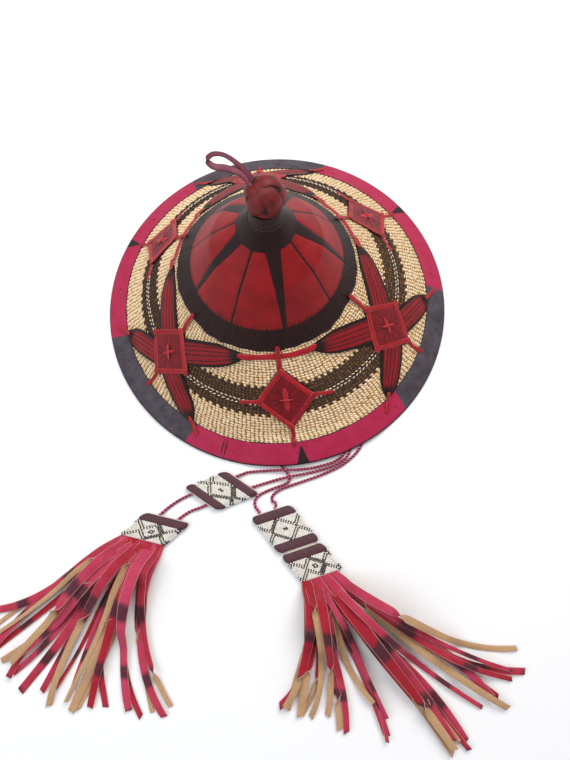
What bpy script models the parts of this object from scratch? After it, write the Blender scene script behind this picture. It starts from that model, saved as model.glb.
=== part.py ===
"""Wide cone-shaped straw hat with a leather crown cover, laced leather patches and beaded, tasselled chin ties.

Metres, +Z up. The origin is the centre of the rim, on the surface that the hat rests on.
Azimuths are in degrees, anticlockwise from +X, and the front of the hat is at -Y.
"""

import math

import bmesh
import bpy
from mathutils import Matrix, Vector

# Main sizes of the hat
RIM_RADIUS = 0.215
BAND_WIDTH = 0.025
BAND_EDGE_HEIGHT = 0.015
HEM_RADIUS = 0.102
HEM_HEIGHT = 0.0905
BORDER_WIDTH = 0.019
BORDER_HEIGHT = 0.1093
COLLAR_RADIUS = 0.028
COLLAR_HEIGHT = 0.1755
CROWN_BULGE = 0.003
NECK_RADIUS = 0.0135
NECK_HEIGHT = 0.195
STRAW_WALL = 0.003
LEATHER_WALL = 0.0015
CLEARANCE = 0.0003
DRAPE_SAG = 0.0003
RIM_EDGE_HEIGHT = 0.003
UNDER_BAND_WIDTH = 0.023
EDGE_SETBACK = 0.0017
ROUND_STEPS = 60

# The hand-woven cone is a little out of true: columns are share of the knot's height and sideways shift
LEAN_TABLE = ((0.067, 0.0), (0.41, -0.008), (0.50, -0.0066), (1.0, -0.0024))

# The brim bows up where the ties pass under it
ARCH_RISE = 0.0036
ARCH_AZIMUTH = -78.5
ARCH_FLAT = 17.0
ARCH_END = 27.0
ARCH_INNER_MARGIN = 0.035

# Knot, neck thong and hanging loop, with the loop's route from the middle of the knot
KNOT_DIAMETER = 0.041
KNOT_RISE = 0.030
KNOT_RELIEF = 0.0008
TIP_RISE = 0.0011
NECK_WRAP_TURNS = 3
NECK_THONG = 0.004
LOOP_THICKNESS = 0.0034
LOOP_ROUTE = (
    (-0.0098, 0.0042, 0.0192),
    (-0.0176, 0.0110, 0.0270),
    (-0.0306, 0.0190, 0.0345),
    (-0.0416, 0.0205, 0.0365),
    (-0.0476, 0.0168, 0.0340),
    (-0.0426, 0.0128, 0.0300),
    (-0.0316, 0.0110, 0.0285),
    (-0.0196, 0.0065, 0.0255),
    (-0.0118, -0.0015, 0.0186),
)

# Square patches that stand on one corner, laid out flat on the brim and then draped over it
PATCH_AZIMUTHS = (-87.0, -27.0, 33.0, 93.0, 153.0, 213.0)
PATCH_IS_STAR = (False, True, False, True, False, True)
PATCH_MARGIN = 0.015
PATCH_WIDTH = 0.068
PATCH_THICKNESS = 0.0018
FRAME_WIDTH = 0.0055
FRAME_RELIEF = 0.0008

# Leaf-shaped arms of the star patches: columns are share of the length and share of the width
ARM_WIDTH = 0.032
ARM_THICKNESS = 0.0013
ARM_CROWN = 0.0006
ARM_LEAF = ((0.0, 1.0), (0.3, 0.98), (0.6, 0.88), (0.8, 0.66), (0.93, 0.34), (1.0, 0.14))
UPPER_ARM_REACH = 40.0
UPPER_ARM_HEM_GAP = 0.006
LOWER_ARM_REACH = 22.0
LOWER_ARM_BAND_GAP = 0.001
ARM_HEM_GAP = 0.0008
ARM_TAIL = 0.020
ARM_TAIL_SHARES = (0.15, 0.4, 0.7, 1.0)
ARM_TAIL_BEND = 0.15

# Leather thongs
THONG_WIDTH = 0.0046
THONG_THICKNESS = 0.0012
THONG_RAMP = 0.006
INNER_THONG_OVERLAP = 0.005
OUTER_THONG_OVERLAP = 0.004
SIDE_THONG_LENGTH = 0.020
BRIDGE_GAP = 0.005
BRIDGE_HALF_SPAN = 23.5
BRIDGE_OVER_ARM = 6.5
BRIDGE_CLIMB = 3.0
BRIDGE_SECTIONS = 12

# Tabs inside the brim that the ties hang from
TAB_WIDTH = 0.020
TAB_LENGTH = 0.020
TAB_HEM_GAP = 0.010
TAB_CLEARANCE = 0.0006

# Chin ties, sliders and tassels, which lie on the surface in front of the hat
CORD_DIAMETER = 0.003
SLIDER_LENGTH = 0.054
SLIDER_THICKNESS = 0.0080
LEFT_SLIDER_WIDTH = 0.040
RIGHT_SLIDER_WIDTH = 0.045
HEAD_LENGTH = 0.038
HEAD_WIDTH = 0.045
HEAD_THICKNESS = 0.0080
ROLLED_END = 0.010
BEADED_SHARE = 0.80
LEFT_SLIDER_START = (-0.0530, -0.2300)
LEFT_SLIDER_HEADING = 197.4
LEFT_HEAD_START = (-0.1410, -0.2640)
LEFT_HEAD_HEADING = 217.6
RIGHT_SLIDER_START = (-0.0240, -0.2645)
RIGHT_SLIDER_HEADING = 305.9
LOCK_WIDTH = 0.017
LOCK_THICKNESS = 0.0042
LOCK_DROP = 0.045
LOCK_SECTIONS = 6

# Fringe locks: columns are end heading, length and root place across the head, from -1 at its left to 1
LEFT_LOCKS = (
    (208.0, 0.190, -0.80),
    (219.0, 0.196, -0.52),
    (230.0, 0.204, -0.24),
    (240.0, 0.200, 0.04),
    (250.0, 0.192, 0.30),
    (262.0, 0.190, 0.56),
    (290.0, 0.188, 0.82),
)
RIGHT_LOCKS = (
    (236.0, 0.150, -0.86),
    (280.0, 0.160, -0.62),
    (297.0, 0.214, -0.38),
    (308.0, 0.222, -0.14),
    (318.0, 0.226, 0.12),
    (328.0, 0.230, 0.36),
    (337.0, 0.232, 0.60),
    (346.0, 0.224, 0.84),
)

# Routes of the tie strands, from the tabs inside the brim to the sliders and heads
RIGHT_TIE_ONE_ROUTE = (
    (0.1027, -0.0022, 0.0776), (0.1030, -0.0024, 0.0660), (0.1026, -0.0035, 0.0400), (0.1010, -0.0080, 0.0160),
    (0.0970, -0.0200, 0.0032), (0.0930, -0.0380, 0.0015), (0.0860, -0.0800, 0.0015), (0.0800, -0.1250, 0.0015),
    (0.0760, -0.1600, 0.0015), (0.0743, -0.1820, 0.0015), (0.0718, -0.1960, 0.0015), (0.0660, -0.2065, 0.0015),
    (0.0560, -0.2128, 0.0015), (0.0440, -0.2163, 0.0015), (0.0280, -0.2190, 0.0016), (0.0100, -0.2198, 0.0034),
    (-0.0045, -0.2194, 0.0048), (-0.0190, -0.2188, 0.0034), (-0.0340, -0.2185, 0.0016), (-0.0460, -0.2188, 0.0022),
    (-0.0553, -0.2211, 0.0032),
)
RIGHT_TIE_TWO_ROUTE = (
    (0.1027, 0.0022, 0.0776), (0.1034, 0.0020, 0.0660), (0.1034, 0.0010, 0.0400), (0.1026, -0.0040, 0.0165),
    (0.1008, -0.0175, 0.0034), (0.0972, -0.0380, 0.0015), (0.0902, -0.0800, 0.0015), (0.0842, -0.1250, 0.0015),
    (0.0802, -0.1600, 0.0015), (0.0785, -0.1820, 0.0015), (0.0762, -0.1970, 0.0015), (0.0718, -0.2070, 0.0015),
    (0.0630, -0.2140, 0.0015), (0.0500, -0.2192, 0.0015), (0.0360, -0.2226, 0.0015), (0.0190, -0.2254, 0.0030),
    (0.0015, -0.2276, 0.0048), (-0.0150, -0.2302, 0.0030), (-0.0290, -0.2332, 0.0015), (-0.0400, -0.2358, 0.0022),
    (-0.0499, -0.2385, 0.0032),
)
LEFT_TIE_ONE_ROUTE = (
    (-0.1163, -0.0022, 0.0776), (-0.1166, -0.0024, 0.0660), (-0.1158, -0.0035, 0.0400), (-0.1125, -0.0080, 0.0160),
    (-0.1045, -0.0185, 0.0032), (-0.0945, -0.0345, 0.0015), (-0.0690, -0.0765, 0.0015), (-0.0300, -0.1220, 0.0015),
    (0.0100, -0.1480, 0.0015), (0.0380, -0.1580, 0.0018), (0.0580, -0.1615, 0.0036), (0.0780, -0.1655, 0.0050),
    (0.0890, -0.1735, 0.0032), (0.0925, -0.1835, 0.0015), (0.0900, -0.1940, 0.0015), (0.0838, -0.2028, 0.0015),
    (0.0752, -0.2105, 0.0015), (0.0636, -0.2180, 0.0015), (0.0500, -0.2238, 0.0015), (0.0346, -0.2290, 0.0015),
    (0.0160, -0.2340, 0.0015), (-0.0010, -0.2384, 0.0015), (-0.0100, -0.2413, 0.0015), (-0.0168, -0.2448, 0.0015),
    (-0.0208, -0.2493, 0.0018), (-0.0205, -0.2540, 0.0024), (-0.0169, -0.2588, 0.0032),
)
LEFT_TIE_TWO_ROUTE = (
    (-0.1163, 0.0022, 0.0776), (-0.1169, 0.0020, 0.0660), (-0.1169, 0.0010, 0.0400), (-0.1152, -0.0040, 0.0165),
    (-0.1100, -0.0170, 0.0034), (-0.1012, -0.0335, 0.0015), (-0.0780, -0.0730, 0.0015), (-0.0500, -0.1170, 0.0015),
    (-0.0300, -0.1570, 0.0015), (-0.0190, -0.1860, 0.0015), (-0.0140, -0.2010, 0.0015), (-0.0090, -0.2120, 0.0015),
    (-0.0035, -0.2200, 0.0015), (0.0008, -0.2262, 0.0015), (0.0000, -0.2325, 0.0015), (-0.0062, -0.2360, 0.0015),
    (-0.0150, -0.2386, 0.0015), (-0.0260, -0.2420, 0.0015), (-0.0355, -0.2462, 0.0015), (-0.0408, -0.2522, 0.0015),
    (-0.0405, -0.2592, 0.0020), (-0.0372, -0.2640, 0.0026), (-0.0324, -0.2700, 0.0032),
)
HEAD_CORD_ONE_ROUTE = (
    (-0.1076, -0.2376, 0.0032), (-0.1180, -0.2408, 0.0022), (-0.1280, -0.2450, 0.0016), (-0.1385, -0.2510, 0.0022),
    (-0.1462, -0.2567, 0.0032),
)
HEAD_CORD_TWO_ROUTE = (
    (-0.1022, -0.2549, 0.0032), (-0.1110, -0.2572, 0.0022), (-0.1190, -0.2603, 0.0016), (-0.1275, -0.2653, 0.0022),
    (-0.1352, -0.2708, 0.0032),
)
CORD_SPACING = 0.006
ROUTE_TOLERANCE = 0.2
LOOP_SPACING = 0.007

# Heights and slopes that follow from the sizes above
KNOT_HEIGHT = NECK_HEIGHT + KNOT_RISE
BAND_RADIUS = RIM_RADIUS - BAND_WIDTH
BAND_SLOPE = (BAND_EDGE_HEIGHT - RIM_EDGE_HEIGHT) / BAND_WIDTH
BAND_STRETCH = math.hypot(1.0, BAND_SLOPE)
SKIN = LEATHER_WALL + CLEARANCE
BRIM_SLOPE = math.atan2(HEM_HEIGHT - BAND_EDGE_HEIGHT + SKIN * BAND_STRETCH, BAND_RADIUS - HEM_RADIUS)
PATCH_INNER_RADIUS = HEM_RADIUS + PATCH_MARGIN
PATCH_OUTER_RADIUS = BAND_RADIUS - PATCH_MARGIN
PATCH_RADIUS = (PATCH_INNER_RADIUS + PATCH_OUTER_RADIUS) / 2
PATCH_HALF_LENGTH = (PATCH_OUTER_RADIUS - PATCH_INNER_RADIUS) / 2 / math.cos(BRIM_SLOPE)
PATCH_HALF_WIDTH = PATCH_WIDTH / 2
ON_LEATHER = SKIN + CLEARANCE


def make_material(name, color, roughness):
    """Return a Principled material with one colour and roughness."""
    material = bpy.data.materials.new(name)
    material.use_nodes = True
    shader = material.node_tree.nodes["Principled BSDF"]
    shader.inputs["Base Color"].default_value = (*color, 1.0)
    shader.inputs["Roughness"].default_value = roughness
    material.diffuse_color = (*color, 1.0)
    return material


def add_object(name, mesh, material, collection):
    """Put a mesh in the collection as an object with one material."""
    mesh.materials.clear()
    mesh.materials.append(material)
    piece = bpy.data.objects.new(name, mesh)
    collection.objects.link(piece)
    return piece


def settle(piece):
    """Replace an object's modifiers or curve by the mesh that they give, with its caps welded."""
    depsgraph = bpy.context.evaluated_depsgraph_get()
    mesh = bpy.data.meshes.new_from_object(piece.evaluated_get(depsgraph))
    work = bmesh.new()
    work.from_mesh(mesh)
    bmesh.ops.remove_doubles(work, verts=work.verts[:], dist=0.000001)
    work.to_mesh(mesh)
    work.free()
    settled = bpy.data.objects.new(piece.name + "_settled", mesh)
    settled.matrix_world = piece.matrix_world.copy()
    for collection in piece.users_collection:
        collection.objects.link(settled)
    name = piece.name
    bpy.data.objects.remove(piece)
    settled.name = name
    return settled


def shade_soft(piece, angle=40.0):
    """Shade a round piece smooth, with sharp edges kept."""
    piece.data.shade_smooth()
    piece.data.set_sharp_from_angle(angle=math.radians(angle))


def interpolate(table, value):
    """Read a two-column table at a value, on straight lines between its rows."""
    if value <= table[0][0]:
        return table[0][1]
    for (low, first), (high, second) in zip(table, table[1:]):
        if value <= high:
            return first + (second - first) * (value - low) / (high - low)
    return table[-1][1]


def smooth_step(value):
    """Return 0 to 1 with level ends."""
    value = min(max(value, 0.0), 1.0)
    return value * value * (3.0 - 2.0 * value)


def straw_profile():
    """Return the straw's outer surface as (radius, height) pairs, from the rim to the neck."""
    border_radius = HEM_RADIUS - BORDER_WIDTH
    middle_radius = (border_radius + COLLAR_RADIUS) / 2
    middle_height = (BORDER_HEIGHT + COLLAR_HEIGHT) / 2
    return (
        (RIM_RADIUS, RIM_EDGE_HEIGHT - SKIN * BAND_STRETCH),
        (BAND_RADIUS, BAND_EDGE_HEIGHT - SKIN * BAND_STRETCH),
        (HEM_RADIUS, HEM_HEIGHT),
        (border_radius, BORDER_HEIGHT),
        (middle_radius + CROWN_BULGE, middle_height + CROWN_BULGE),
        (COLLAR_RADIUS, COLLAR_HEIGHT),
        (NECK_RADIUS, NECK_HEIGHT),
    )


def surface_at(radius):
    """Return the straw surface's height and its outward normal, as (along radius, up), at a radius."""
    profile = straw_profile()
    for (outer, low), (inner, high) in zip(profile, profile[1:]):
        if radius >= inner or inner == profile[-1][0]:
            slope = (high - low) / (outer - inner)
            length = math.hypot(1.0, slope)
            return low + slope * (outer - radius), (slope / length, 1.0 / length)
    return profile[-1][1], (0.0, 1.0)


def lean_at(height):
    """Return the sideways shift of the hat's axis at a height."""
    return interpolate(LEAN_TABLE, height / KNOT_HEIGHT)


def arch_at(radius, azimuth):
    """Return how far the brim bows up at a place, over the ties."""
    turn = abs((azimuth - ARCH_AZIMUTH + 180.0) % 360.0 - 180.0)
    across = 1.0 - smooth_step((turn - ARCH_FLAT) / (ARCH_END - ARCH_FLAT))
    inner = RIM_RADIUS - ARCH_INNER_MARGIN
    return ARCH_RISE * across * smooth_step((radius - inner) / (BAND_RADIUS - inner))


def on_hat(radius, azimuth, level):
    """Return the point that lies a level above the straw, along its normal."""
    height, normal = surface_at(radius)
    reach = radius + normal[0] * level
    up = height + normal[1] * level
    turn = math.radians(azimuth)
    rise = arch_at(radius, azimuth)
    return Vector((reach * math.cos(turn) + lean_at(up), reach * math.sin(turn), up + rise))


def flat_to_polar(across, outward):
    """Unroll the brim: turn a place on a flat layout round a patch's centre into a radius and a turn."""
    cosine = math.cos(BRIM_SLOPE)
    reach = PATCH_RADIUS / cosine + outward
    radius = math.hypot(across, reach) * cosine
    return radius, math.degrees(math.atan2(across, reach)) / cosine


def polar_to_flat(radius, turn):
    """Give a place on the brim in the flat layout round a patch's centre."""
    cosine = math.cos(BRIM_SLOPE)
    angle = math.radians(turn * cosine)
    reach = radius / cosine
    return reach * math.sin(angle), reach * math.cos(angle) - PATCH_RADIUS / cosine


def resting_level(radius):
    """Return how high a thong lies above the straw: higher where it climbs on the leather."""
    past_hem = smooth_step((HEM_RADIUS + THONG_RAMP - radius) / (THONG_RAMP * 0.8))
    past_band = smooth_step((radius - BAND_RADIUS + THONG_RAMP) / (THONG_RAMP * 0.8))
    return CLEARANCE + SKIN * max(past_hem, past_band)


def layered_piece(name, rows, place, material, collection):
    """Build one closed piece from rows of (across, along, underside, top) stations, set down by place."""
    columns = len(rows[0])
    work = bmesh.new()
    bmesh.ops.create_grid(work, x_segments=columns - 1, y_segments=len(rows) - 1, size=1.0)
    extruded = bmesh.ops.extrude_face_region(work, geom=work.faces[:], use_keep_orig=True)
    upper = [item for item in extruded["geom"] if isinstance(item, bmesh.types.BMVert)]
    upper_set = set(upper)
    lower = [vert for vert in work.verts if vert not in upper_set]

    def grid_order(vert):
        return round(vert.co.y, 5), round(vert.co.x, 5)

    stations = [station for row in rows for station in row]
    for vert, (across, along, underside, _top) in zip(sorted(lower, key=grid_order), stations):
        vert.tag = True
        vert.co = place(across, along, underside)
    for vert, (across, along, _underside, top) in zip(sorted(upper, key=grid_order), stations):
        vert.co = place(across, along, top)
    bmesh.ops.recalc_face_normals(work, faces=work.faces[:])
    if work.calc_volume(signed=True) < 0.0:
        bmesh.ops.reverse_faces(work, faces=work.faces[:])
    mesh = bpy.data.meshes.new(name)
    work.to_mesh(mesh)
    work.free()
    return add_object(name, mesh, material, collection)


def draped_piece(name, azimuth, rows, material, collection):
    """Drape a flat layout over the brim at an azimuth."""

    def place(across, outward, level):
        radius, turn = flat_to_polar(across, outward)
        return on_hat(radius, azimuth + turn, level)

    return layered_piece(name, rows, place, material, collection)


def turned_piece(name, profile, material, collection, steps=ROUND_STEPS, closed=True):
    """Turn a profile that runs down its outer side about the Z axis."""
    mesh = bpy.data.meshes.new(name)
    points = [(radius, 0.0, height) for radius, height in profile]
    edges = [(index, index + 1) for index in range(len(points) - 1)]
    if closed:
        edges.append((len(points) - 1, 0))
    mesh.from_pydata(points, edges, [])
    piece = add_object(name, mesh, material, collection)
    screw = piece.modifiers.new("Turn", "SCREW")
    screw.angle = math.tau
    screw.steps = steps
    screw.render_steps = steps
    screw.use_merge_vertices = True
    screw.merge_threshold = 0.00001
    return settle(piece)


def bend_to_hat(piece):
    """Give a turned piece the hat's lean and the bow over the ties."""
    for vert in piece.data.vertices:
        radius = math.hypot(vert.co.x, vert.co.y)
        azimuth = math.degrees(math.atan2(vert.co.y, vert.co.x))
        rise = arch_at(radius, azimuth)
        vert.co.x += lean_at(vert.co.z)
        vert.co.z += rise


def offset_profile(profile, distance):
    """Shift a profile that runs inwards and up along its outward normal."""
    shifted = []
    for index, (radius, height) in enumerate(profile):
        before = profile[max(index - 1, 0)]
        after = profile[min(index + 1, len(profile) - 1)]
        first = Vector((radius - before[0], height - before[1]))
        second = Vector((after[0] - radius, after[1] - height))
        if first.length < 1e-9:
            first = second
        if second.length < 1e-9:
            second = first
        normals = [Vector((edge.y, -edge.x)).normalized() for edge in (first, second)]
        middle = (normals[0] + normals[1]).normalized()
        stretch = 1.0 / middle.dot(normals[0])
        shifted.append((radius + middle.x * distance * stretch, height + middle.y * distance * stretch))
    return shifted


def band_top(radius):
    """Return the height of the rim band's upper face."""
    return RIM_EDGE_HEIGHT + BAND_SLOPE * (RIM_RADIUS - radius)


def build_straw_body(material, collection):
    """Build the straw cone: a thin wall, open below, that thins out inside the rim's binding."""
    edge_radius = RIM_RADIUS - SKIN - EDGE_SETBACK
    fade_radius = RIM_RADIUS - ARCH_INNER_MARGIN
    profile = straw_profile()
    outside = [(edge_radius, band_top(edge_radius) - SKIN * BAND_STRETCH), profile[1]]
    outside.append((fade_radius, surface_at(fade_radius)[0]))
    outside.extend(profile[2:])
    wall_line = offset_profile(outside, -STRAW_WALL)
    floor_level = SKIN
    lay_radius = RIM_RADIUS - (band_top(RIM_RADIUS) + BAND_STRETCH * (-SKIN - STRAW_WALL) - floor_level) / -BAND_SLOPE
    inside = [(edge_radius, floor_level), (lay_radius, floor_level)]
    inside.extend(wall_line[1:])
    outline = [(0.0, NECK_HEIGHT + TIP_RISE)]
    outline.extend(reversed(outside))
    outline.extend(inside)
    outline.append((0.0, inside[-1][1] + TIP_RISE))
    piece = turned_piece("straw_body", outline, material, collection, closed=False)
    bend_to_hat(piece)
    shade_soft(piece)
    return piece


def build_rim_binding(material, collection):
    """Build the leather folded round the rim, with a level ring underneath that the hat stands on."""
    leather = LEATHER_WALL * BAND_STRETCH
    total = (2 * SKIN + STRAW_WALL) * BAND_STRETCH
    under_radius = RIM_RADIUS - UNDER_BAND_WIDTH
    flat_radius = RIM_RADIUS - (total - RIM_EDGE_HEIGHT) / BAND_SLOPE
    fold = RIM_RADIUS - LEATHER_WALL - CLEARANCE
    cavity_floor = LEATHER_WALL
    outline = [
        (BAND_RADIUS, band_top(BAND_RADIUS)),
        (fold, band_top(fold)),
        (RIM_RADIUS - LEATHER_WALL * 0.2, RIM_EDGE_HEIGHT * 0.9),
        (RIM_RADIUS, RIM_EDGE_HEIGHT * 0.6),
        (RIM_RADIUS - LEATHER_WALL * 0.4, RIM_EDGE_HEIGHT * 0.15),
        (RIM_RADIUS - LEATHER_WALL, 0.0),
        (flat_radius, 0.0),
        (under_radius, band_top(under_radius) - total),
        (under_radius, band_top(under_radius) - total + leather),
        (flat_radius + LEATHER_WALL * 0.25, cavity_floor),
        (fold, cavity_floor),
        (fold, band_top(fold) - leather),
        (BAND_RADIUS, band_top(BAND_RADIUS) - leather),
    ]
    piece = turned_piece("rim_binding", outline, material, collection)
    bend_to_hat(piece)
    shade_soft(piece)
    return piece


def build_crown_cover(material, collection):
    """Build the leather cover of the crown, a skin over the straw from its hem to the neck."""
    profile = straw_profile()[2:]
    inside = offset_profile(profile, CLEARANCE)
    outside = offset_profile(profile, SKIN)
    outline = list(reversed(outside))
    outline.extend(inside)
    piece = turned_piece("crown_cover", outline, material, collection)
    bend_to_hat(piece)
    shade_soft(piece)
    return piece


def build_neck_wrap(material, collection):
    """Build the thong wound round the neck, which carries the knot in its hollow top."""
    base = NECK_HEIGHT + TIP_RISE + CLEARANCE
    seat_radius = KNOT_DIAMETER / 2 + CLEARANCE
    ring_radius = NECK_RADIUS + SKIN
    outline = []
    for turn in range(NECK_WRAP_TURNS):
        top = base + NECK_THONG * (NECK_WRAP_TURNS - turn)
        outline.append((ring_radius - NECK_THONG * 0.25, top))
        outline.append((ring_radius + NECK_THONG * 0.05, top - NECK_THONG * 0.2))
        outline.append((ring_radius + NECK_THONG * 0.05, top - NECK_THONG * 0.8))
    outline.append((ring_radius - NECK_THONG * 0.25, base))
    outline.append((0.0, base))
    dish_edge = ring_radius - NECK_THONG * 0.5
    dish = []
    for share in (0.0, 0.35, 0.7, 1.0):
        radius = dish_edge * share
        seat = KNOT_HEIGHT - math.sqrt(seat_radius ** 2 - radius ** 2)
        dish.append((radius, min(seat, base + NECK_THONG * NECK_WRAP_TURNS)))
    outline = dish + outline
    piece = turned_piece("neck_wrap", outline, material, collection, steps=16, closed=False)
    bend_to_hat(piece)
    shade_soft(piece)
    return piece


def build_top_knot(material, collection):
    """Build the ball of interlaced leather strips as a ball with raised, slanting strips."""
    work = bmesh.new()
    bmesh.ops.create_uvsphere(work, u_segments=20, v_segments=10, radius=KNOT_DIAMETER / 2)
    for vert in work.verts:
        turn = math.atan2(vert.co.y, vert.co.x)
        tilt = math.asin(max(-1.0, min(1.0, vert.co.z / (KNOT_DIAMETER / 2))))
        weave = math.cos(4 * turn + 3 * tilt) * math.cos(4 * turn - 3 * tilt) * math.cos(tilt)
        vert.co *= 1.0 - KNOT_RELIEF * (1.0 - weave) / KNOT_DIAMETER
    bmesh.ops.translate(work, verts=work.verts[:], vec=(lean_at(KNOT_HEIGHT), 0.0, KNOT_HEIGHT))
    mesh = bpy.data.meshes.new("top_knot")
    work.to_mesh(mesh)
    work.free()
    piece = add_object("top_knot", mesh, material, collection)
    shade_soft(piece)
    return piece


def catmull_point(points, index, share):
    """Return the point at a share of one span of a smooth curve through the points."""
    last = len(points) - 1
    before = points[max(index - 1, 0)]
    start = points[index]
    end = points[min(index + 1, last)]
    after = points[min(index + 2, last)]
    square = share * share
    cube = square * share
    return 0.5 * (
        2.0 * start
        + (end - before) * share
        + (2.0 * before - 5.0 * start + 4.0 * end - after) * square
        + (3.0 * start - before - 3.0 * end + after) * cube
    )


def smooth_route(route, spacing):
    """Read evenly spaced points from the smooth curve through a route's own points."""
    points = [Vector(point) for point in route]
    fine = []
    for index in range(len(points) - 1):
        for step in range(24):
            fine.append(catmull_point(points, index, step / 24))
    fine.append(points[-1])
    lengths = [0.0]
    for first, second in zip(fine, fine[1:]):
        lengths.append(lengths[-1] + (second - first).length)
    count = max(2, round(lengths[-1] / spacing))
    placed = []
    position = 0
    for step in range(count + 1):
        target = lengths[-1] * step / count
        while position < len(lengths) - 2 and lengths[position + 1] < target:
            position += 1
        span = lengths[position + 1] - lengths[position]
        share = (target - lengths[position]) / span
        placed.append(fine[position].lerp(fine[position + 1], share))
    return placed


def build_tube(name, points, diameter, material, collection):
    """Build a round cord or thong along points."""
    curve = bpy.data.curves.new(name, "CURVE")
    curve.dimensions = "3D"
    curve.bevel_depth = diameter / 2
    curve.bevel_resolution = 2
    curve.use_fill_caps = True
    spline = curve.splines.new("POLY")
    spline.points.add(len(points) - 1)
    for point, place in zip(spline.points, points):
        point.co = (*place, 1.0)
    curve.materials.append(material)
    piece = bpy.data.objects.new(name, curve)
    collection.objects.link(piece)
    return piece


def thin_straight_stretches(points, tolerance):
    """Drop points that lie almost on the line between the points kept on both sides."""
    kept = [points[0]]
    index = 0
    while index < len(points) - 1:
        reach = index + 1
        for candidate in range(index + 2, min(index + 10, len(points))):
            line = points[candidate] - points[index]
            off = max(
                (point - points[index] - line * ((point - points[index]).dot(line) / line.length_squared)).length
                for point in points[index + 1:candidate]
            )
            if off > tolerance:
                break
            reach = candidate
        kept.append(points[reach])
        index = reach
    return kept


def patch_corners():
    """Return the flat layout's inner, right, outer and left corners of a patch."""
    return (
        Vector((0.0, -PATCH_HALF_LENGTH)),
        Vector((PATCH_HALF_WIDTH, 0.0)),
        Vector((0.0, PATCH_HALF_LENGTH)),
        Vector((-PATCH_HALF_WIDTH, 0.0)),
    )


def build_patch(name, azimuth, material, collection):
    """Build one square patch with the raised strips of its frame."""
    inner, right, _outer, left = patch_corners()
    side = (right - inner).length
    strip = FRAME_WIDTH / side
    lines = (0.0, strip, strip * 1.3, 0.5, 1.0 - strip * 1.3, 1.0 - strip, 1.0)
    raised = (0.0, strip, 1.0 - strip, 1.0)
    rows = []
    for v in lines:
        row = []
        for u in lines:
            place = inner + (right - inner) * u + (left - inner) * v
            relief = FRAME_RELIEF if u in raised or v in raised else 0.0
            level = CLEARANCE + DRAPE_SAG
            row.append((place.x, place.y, level, level + PATCH_THICKNESS + relief))
        rows.append(row)
    return draped_piece(name, azimuth, rows, material, collection)


def build_thong(name, azimuth, start, end, sections, material, collection, extra=0.0):
    """Build one thong between two places on the flat layout, climbing on the leather that it crosses."""
    direction = (end - start).normalized()
    side = Vector((direction.y, -direction.x)) * (THONG_WIDTH / 2)
    rows = []
    for step in range(sections + 1):
        middle = start.lerp(end, step / sections)
        radius = flat_to_polar(middle.x, middle.y)[0]
        level = resting_level(radius) + extra * smooth_step(step * 2 / sections)
        row = []
        for sign in (-1.0, 1.0):
            place = middle + side * sign
            row.append((place.x, place.y, level, level + THONG_THICKNESS))
        rows.append(row)
    return draped_piece(name, azimuth, rows, material, collection)


def arm_tip(upper):
    """Return the flat place of a right-hand arm's tip."""
    if upper:
        return Vector(polar_to_flat(HEM_RADIUS + UPPER_ARM_HEM_GAP, UPPER_ARM_REACH))
    return Vector(polar_to_flat(BAND_RADIUS - LOWER_ARM_BAND_GAP, LOWER_ARM_REACH))


def keep_off_hem(place):
    """Move a flat place outwards until it is clear of the crown cover's hem."""
    radius, turn = flat_to_polar(place.x, place.y)
    return Vector(polar_to_flat(max(radius, HEM_RADIUS + SKIN + ARM_HEM_GAP), turn))


def build_arm(name, azimuth, upper, mirrored, material, collection):
    """Build one leaf-shaped arm from a patch's side to its tip, with its tail thong on a lower arm."""
    inner, right, outer, _left = patch_corners()
    first, second = (inner, right) if upper else (right, outer)
    side = (second - first).normalized()
    outward = Vector((side.y, -side.x))
    if outward.x < 0:
        outward = -outward
    base = (first + second) / 2 + outward * CLEARANCE * 1.5
    tip = arm_tip(upper)
    axis = (tip - base).normalized()
    across = Vector((-axis.y, axis.x))
    if across.dot(side) < 0:
        across = -across
    flip = -1.0 if mirrored else 1.0
    rows = []
    for along, share in ARM_LEAF:
        middle = base.lerp(tip, along)
        cross = (side * (1.0 - along) + across * along).normalized()
        row = []
        for sign in (-1.0, 0.0, 1.0):
            place = keep_off_hem(middle + cross * (sign * share * ARM_WIDTH / 2))
            radius = flat_to_polar(place.x, place.y)[0]
            level = DRAPE_SAG + (CLEARANCE if upper else resting_level(radius))
            crown = ARM_CROWN * share if sign == 0.0 else 0.0
            row.append((place.x * flip, place.y, level, level + ARM_THICKNESS + crown))
        rows.append(row)
    if not upper:
        heading = (axis + Vector((0.0, ARM_TAIL_BEND))).normalized()
        cross = Vector((-heading.y, heading.x))
        for share in ARM_TAIL_SHARES:
            middle = tip + heading * ARM_TAIL * share
            level = resting_level(flat_to_polar(middle.x, middle.y)[0])
            row = []
            for sign in (-1.0, 0.0, 1.0):
                place = middle + cross * (sign * THONG_WIDTH / 2)
                row.append((place.x * flip, place.y, level, level + THONG_THICKNESS))
            rows.append(row)
    return draped_piece(name, azimuth, rows, material, collection)


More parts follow.
